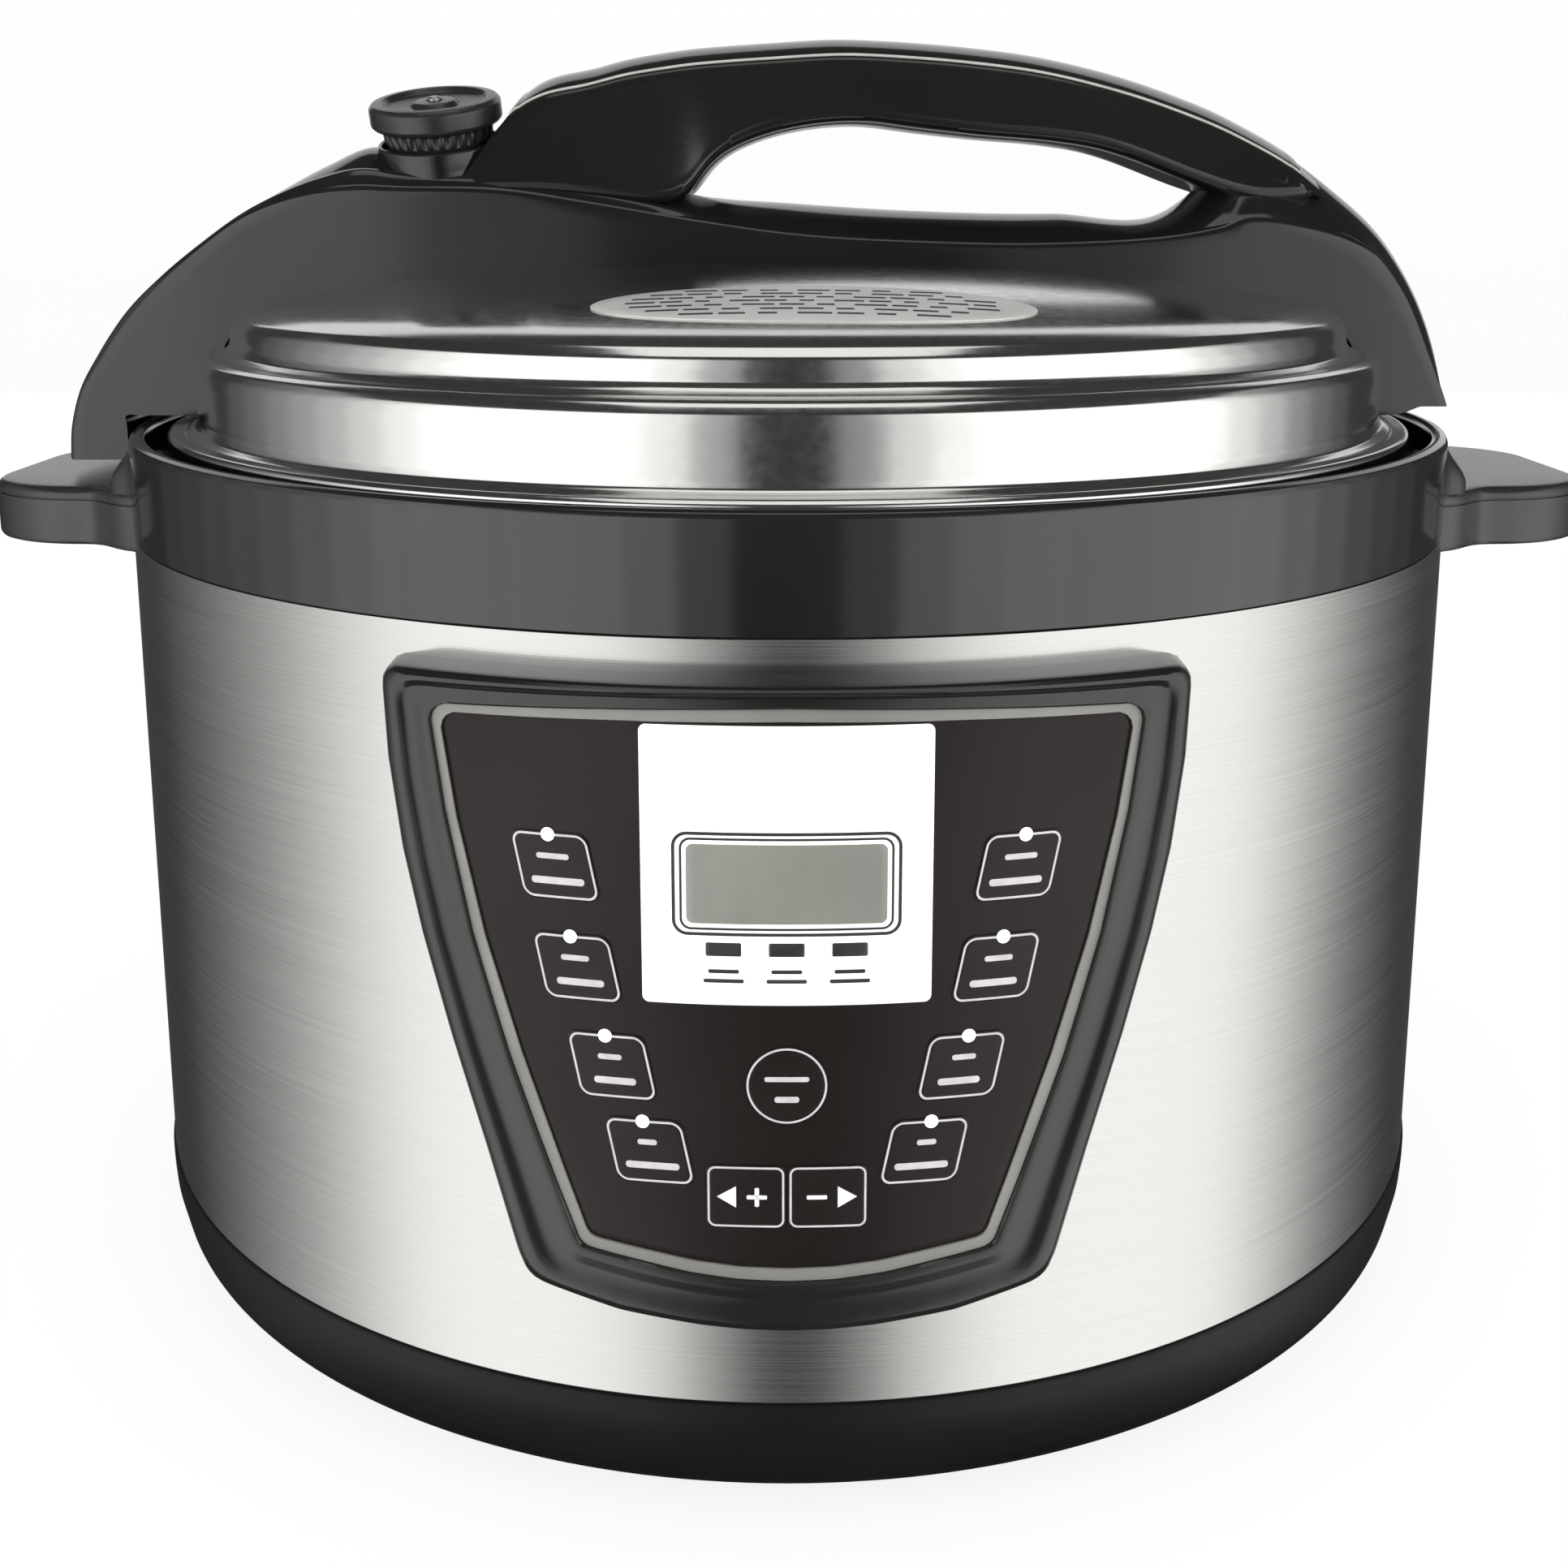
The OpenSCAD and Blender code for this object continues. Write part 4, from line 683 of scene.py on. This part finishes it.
def leaning(profile, ribs=None, steps=144):
    """A line turned about the knob's own leaning axis; ribs adds 0.35 cos(30 a) to the neck's radius."""
    a = np.radians(np.linspace(0, 360, steps + 1))[:, None]
    r = np.array(profile)[None, :, 0] + (0 if ribs is None else 0.35 * np.cos(30 * a) * np.array(ribs)[None])
    z = np.broadcast_to(np.array(profile)[None, :, 1], r.shape) + 0 * a
    local = np.stack([(r + 0 * a) * np.sin(a), (r + 0 * a) * np.cos(a), z], -1)
    return (local @ np.array(knob_lean).T + [-80, -5, 249.5]) / 1000


knob_black = surface("knob_black", (0.014, 0.014, 0.0135), (0.022, 0.0218, 0.021), (0.2, 0.32), 60, 2000, 0.08,
                     Specular_IOR_Level=0.6)
neck = rounded([[0, 1.8], [10.9, 1.8], [11.4, 2.3], [12, 3.8], [12.3, 6.4], [13, 7], [14.2, 7.1], [15, 8], [15, 11.6], [14.2, 12.6],
                [12, 12.8], [11.1, 11.7], [5.6, 11.2], [4.7, 12.3], [2, 12.4], [1.7, 12.2], [1.7, 9], [0, 9]], 0.35)
build("valve_seat", [leaning(rounded([[0, -9], [15.5, -9], [14.4, -1], [14.1, 2.9], [13.6, 3.3], [13.1, 3.1], [13, 0.7],
                                      [0, 0.7]], 0.4))], "lid", cover_black)
build("valve_turn_knob", [leaning(neck, np.interp(neck[:, 1], [3.6, 4.2, 6, 6.4], [0, 1, 1, 0]) * (neck[:, 0] > 11.9), 360)],
      "valve_knob", knob_black, ["valve_knob"])
build("valve_centre_pin", [leaning(rounded([[0, 8.3], [1.5, 8.3], [1.5, 12.8], [1.1, 13.2], [0, 13.2]], 0.25), None, 48)],
      "valve_pin", screw_steel, ["valve_pin"])
finish_cad(surface("pipe_steel", (0.45, 0.45, 0.44), (0.6, 0.6, 0.58), (0.2, 0.35), 200, 2200, 0.1, Metallic=1.0),
           "vent_pipe", "steam_filter", ease=0.0002)
finish_cad(surface("float_red", (0.42, 0.03, 0.02), (0.55, 0.05, 0.035), (0.35, 0.5), 200, 2200, 0.1), "float_pin", ease=0.0002)

# ---------- liner and sealing ring ----------
# Aluminium plate under the lid, held by a rubber nut, with the translucent silicone ring on its rim.
finish_cad(surface("liner_aluminium", (0.55, 0.55, 0.54), (0.68, 0.68, 0.66), (0.25, 0.4), 20, 700, 0.1, Metallic=1.0),
           "lid_liner", ease=0)
finish_cad(surface("gasket_silicone", (0.62, 0.6, 0.55), (0.74, 0.72, 0.67), (0.4, 0.55), 40, 1500, 0.1,
                   Subsurface_Weight=0.25), "sealing_ring", ease=0)
finish_cad(rubber, "liner_nut", ease=0.0003)

# ---------- cooking pot ----------
# Drawn aluminium pot with a speckled dark non-stick coating and a rolled rim; the rim has the same coating.
pot_coating = surface("pot_coating", (0.03, 0.03, 0.031), (0.09, 0.09, 0.092), (0.3, 0.5), 700, 1600, 0.15,
                      Specular_IOR_Level=0.5)
build("cook_pot", [revolve(rounded(
    [[0, 51.5], [105, 51.5], [112, 53.2], [116, 57], [117.5, 63], [117.5, 184.6], [118, 185.2], [125.8, 185.2],
     [126.6, 184.6], [126.2, 183.6], [119.6, 183.6], [119, 183], [119, 62], [116.8, 55.4], [113, 51.6], [106, 50],
     [0, 50]], 2.2))], "pot", pot_coating, ["inner_pot"])

# ---------- heater and electrics ----------
# Pressed steel shell with bayonet lugs, cast heating plate with its ring element, spring-loaded
# thermostat, pressure switch, fuse, power board and its wires. All of them are the CAD's own shapes.
finish_cad(surface("shell_steel", (0.42, 0.42, 0.41), (0.58, 0.58, 0.565), (0.3, 0.45), 12, 900, 0.12, Metallic=1.0),
           "pressure_shell", ease=0)
finish_cad(surface("cast_aluminium", (0.32, 0.32, 0.31), (0.46, 0.46, 0.45), (0.4, 0.6), 60, 1200, 0.35, Metallic=1.0),
           "heating_plate", ease=0.0004)
finish_cad(surface("element_metal", (0.16, 0.15, 0.14), (0.28, 0.26, 0.24), (0.4, 0.6), 90, 1500, 0.3, Metallic=1.0),
           "heating_element", ease=0)
finish_cad(screw_steel, "thermostat_sensor", "sensor_spring", ease=0)
finish_cad(surface("switch_cream", (0.58, 0.54, 0.44), (0.68, 0.64, 0.54), (0.4, 0.55), 120, 2000, 0.1),
           "pressure_switch", "thermal_fuse")
finish_cad(surface("parts_grey", (0.06, 0.06, 0.058), (0.16, 0.155, 0.15), (0.3, 0.5), 90, 2000, 0.15), "power_parts")
finish_cad(surface("wire_red", (0.4, 0.03, 0.02), (0.52, 0.06, 0.04), (0.35, 0.5), 150, 2000, 0.1), "wiring", ease=0)

# ---------- back ----------
# Mains inlet with three pins, and a clear cup that catches condensate, hung on a moulded bracket.
finish_cad(surface("inlet_black", (0.012, 0.012, 0.012), (0.02, 0.02, 0.02), (0.35, 0.5), 80, 2200, 0.15),
           "power_inlet", "cup_bracket", ease=0.0006)
finish_cad(surface("pin_brass", (0.5, 0.42, 0.26), (0.66, 0.57, 0.38), (0.2, 0.35), 200, 2200, 0.08, Metallic=1.0), "inlet_pins")
finish_cad(surface("cup_clear", (0.75, 0.79, 0.8), (0.85, 0.88, 0.89), (0.12, 0.25), 60, 1500, 0.05,
                   Transmission_Weight=0.75, IOR=1.49), "condensate_cup", ease=0.0008)
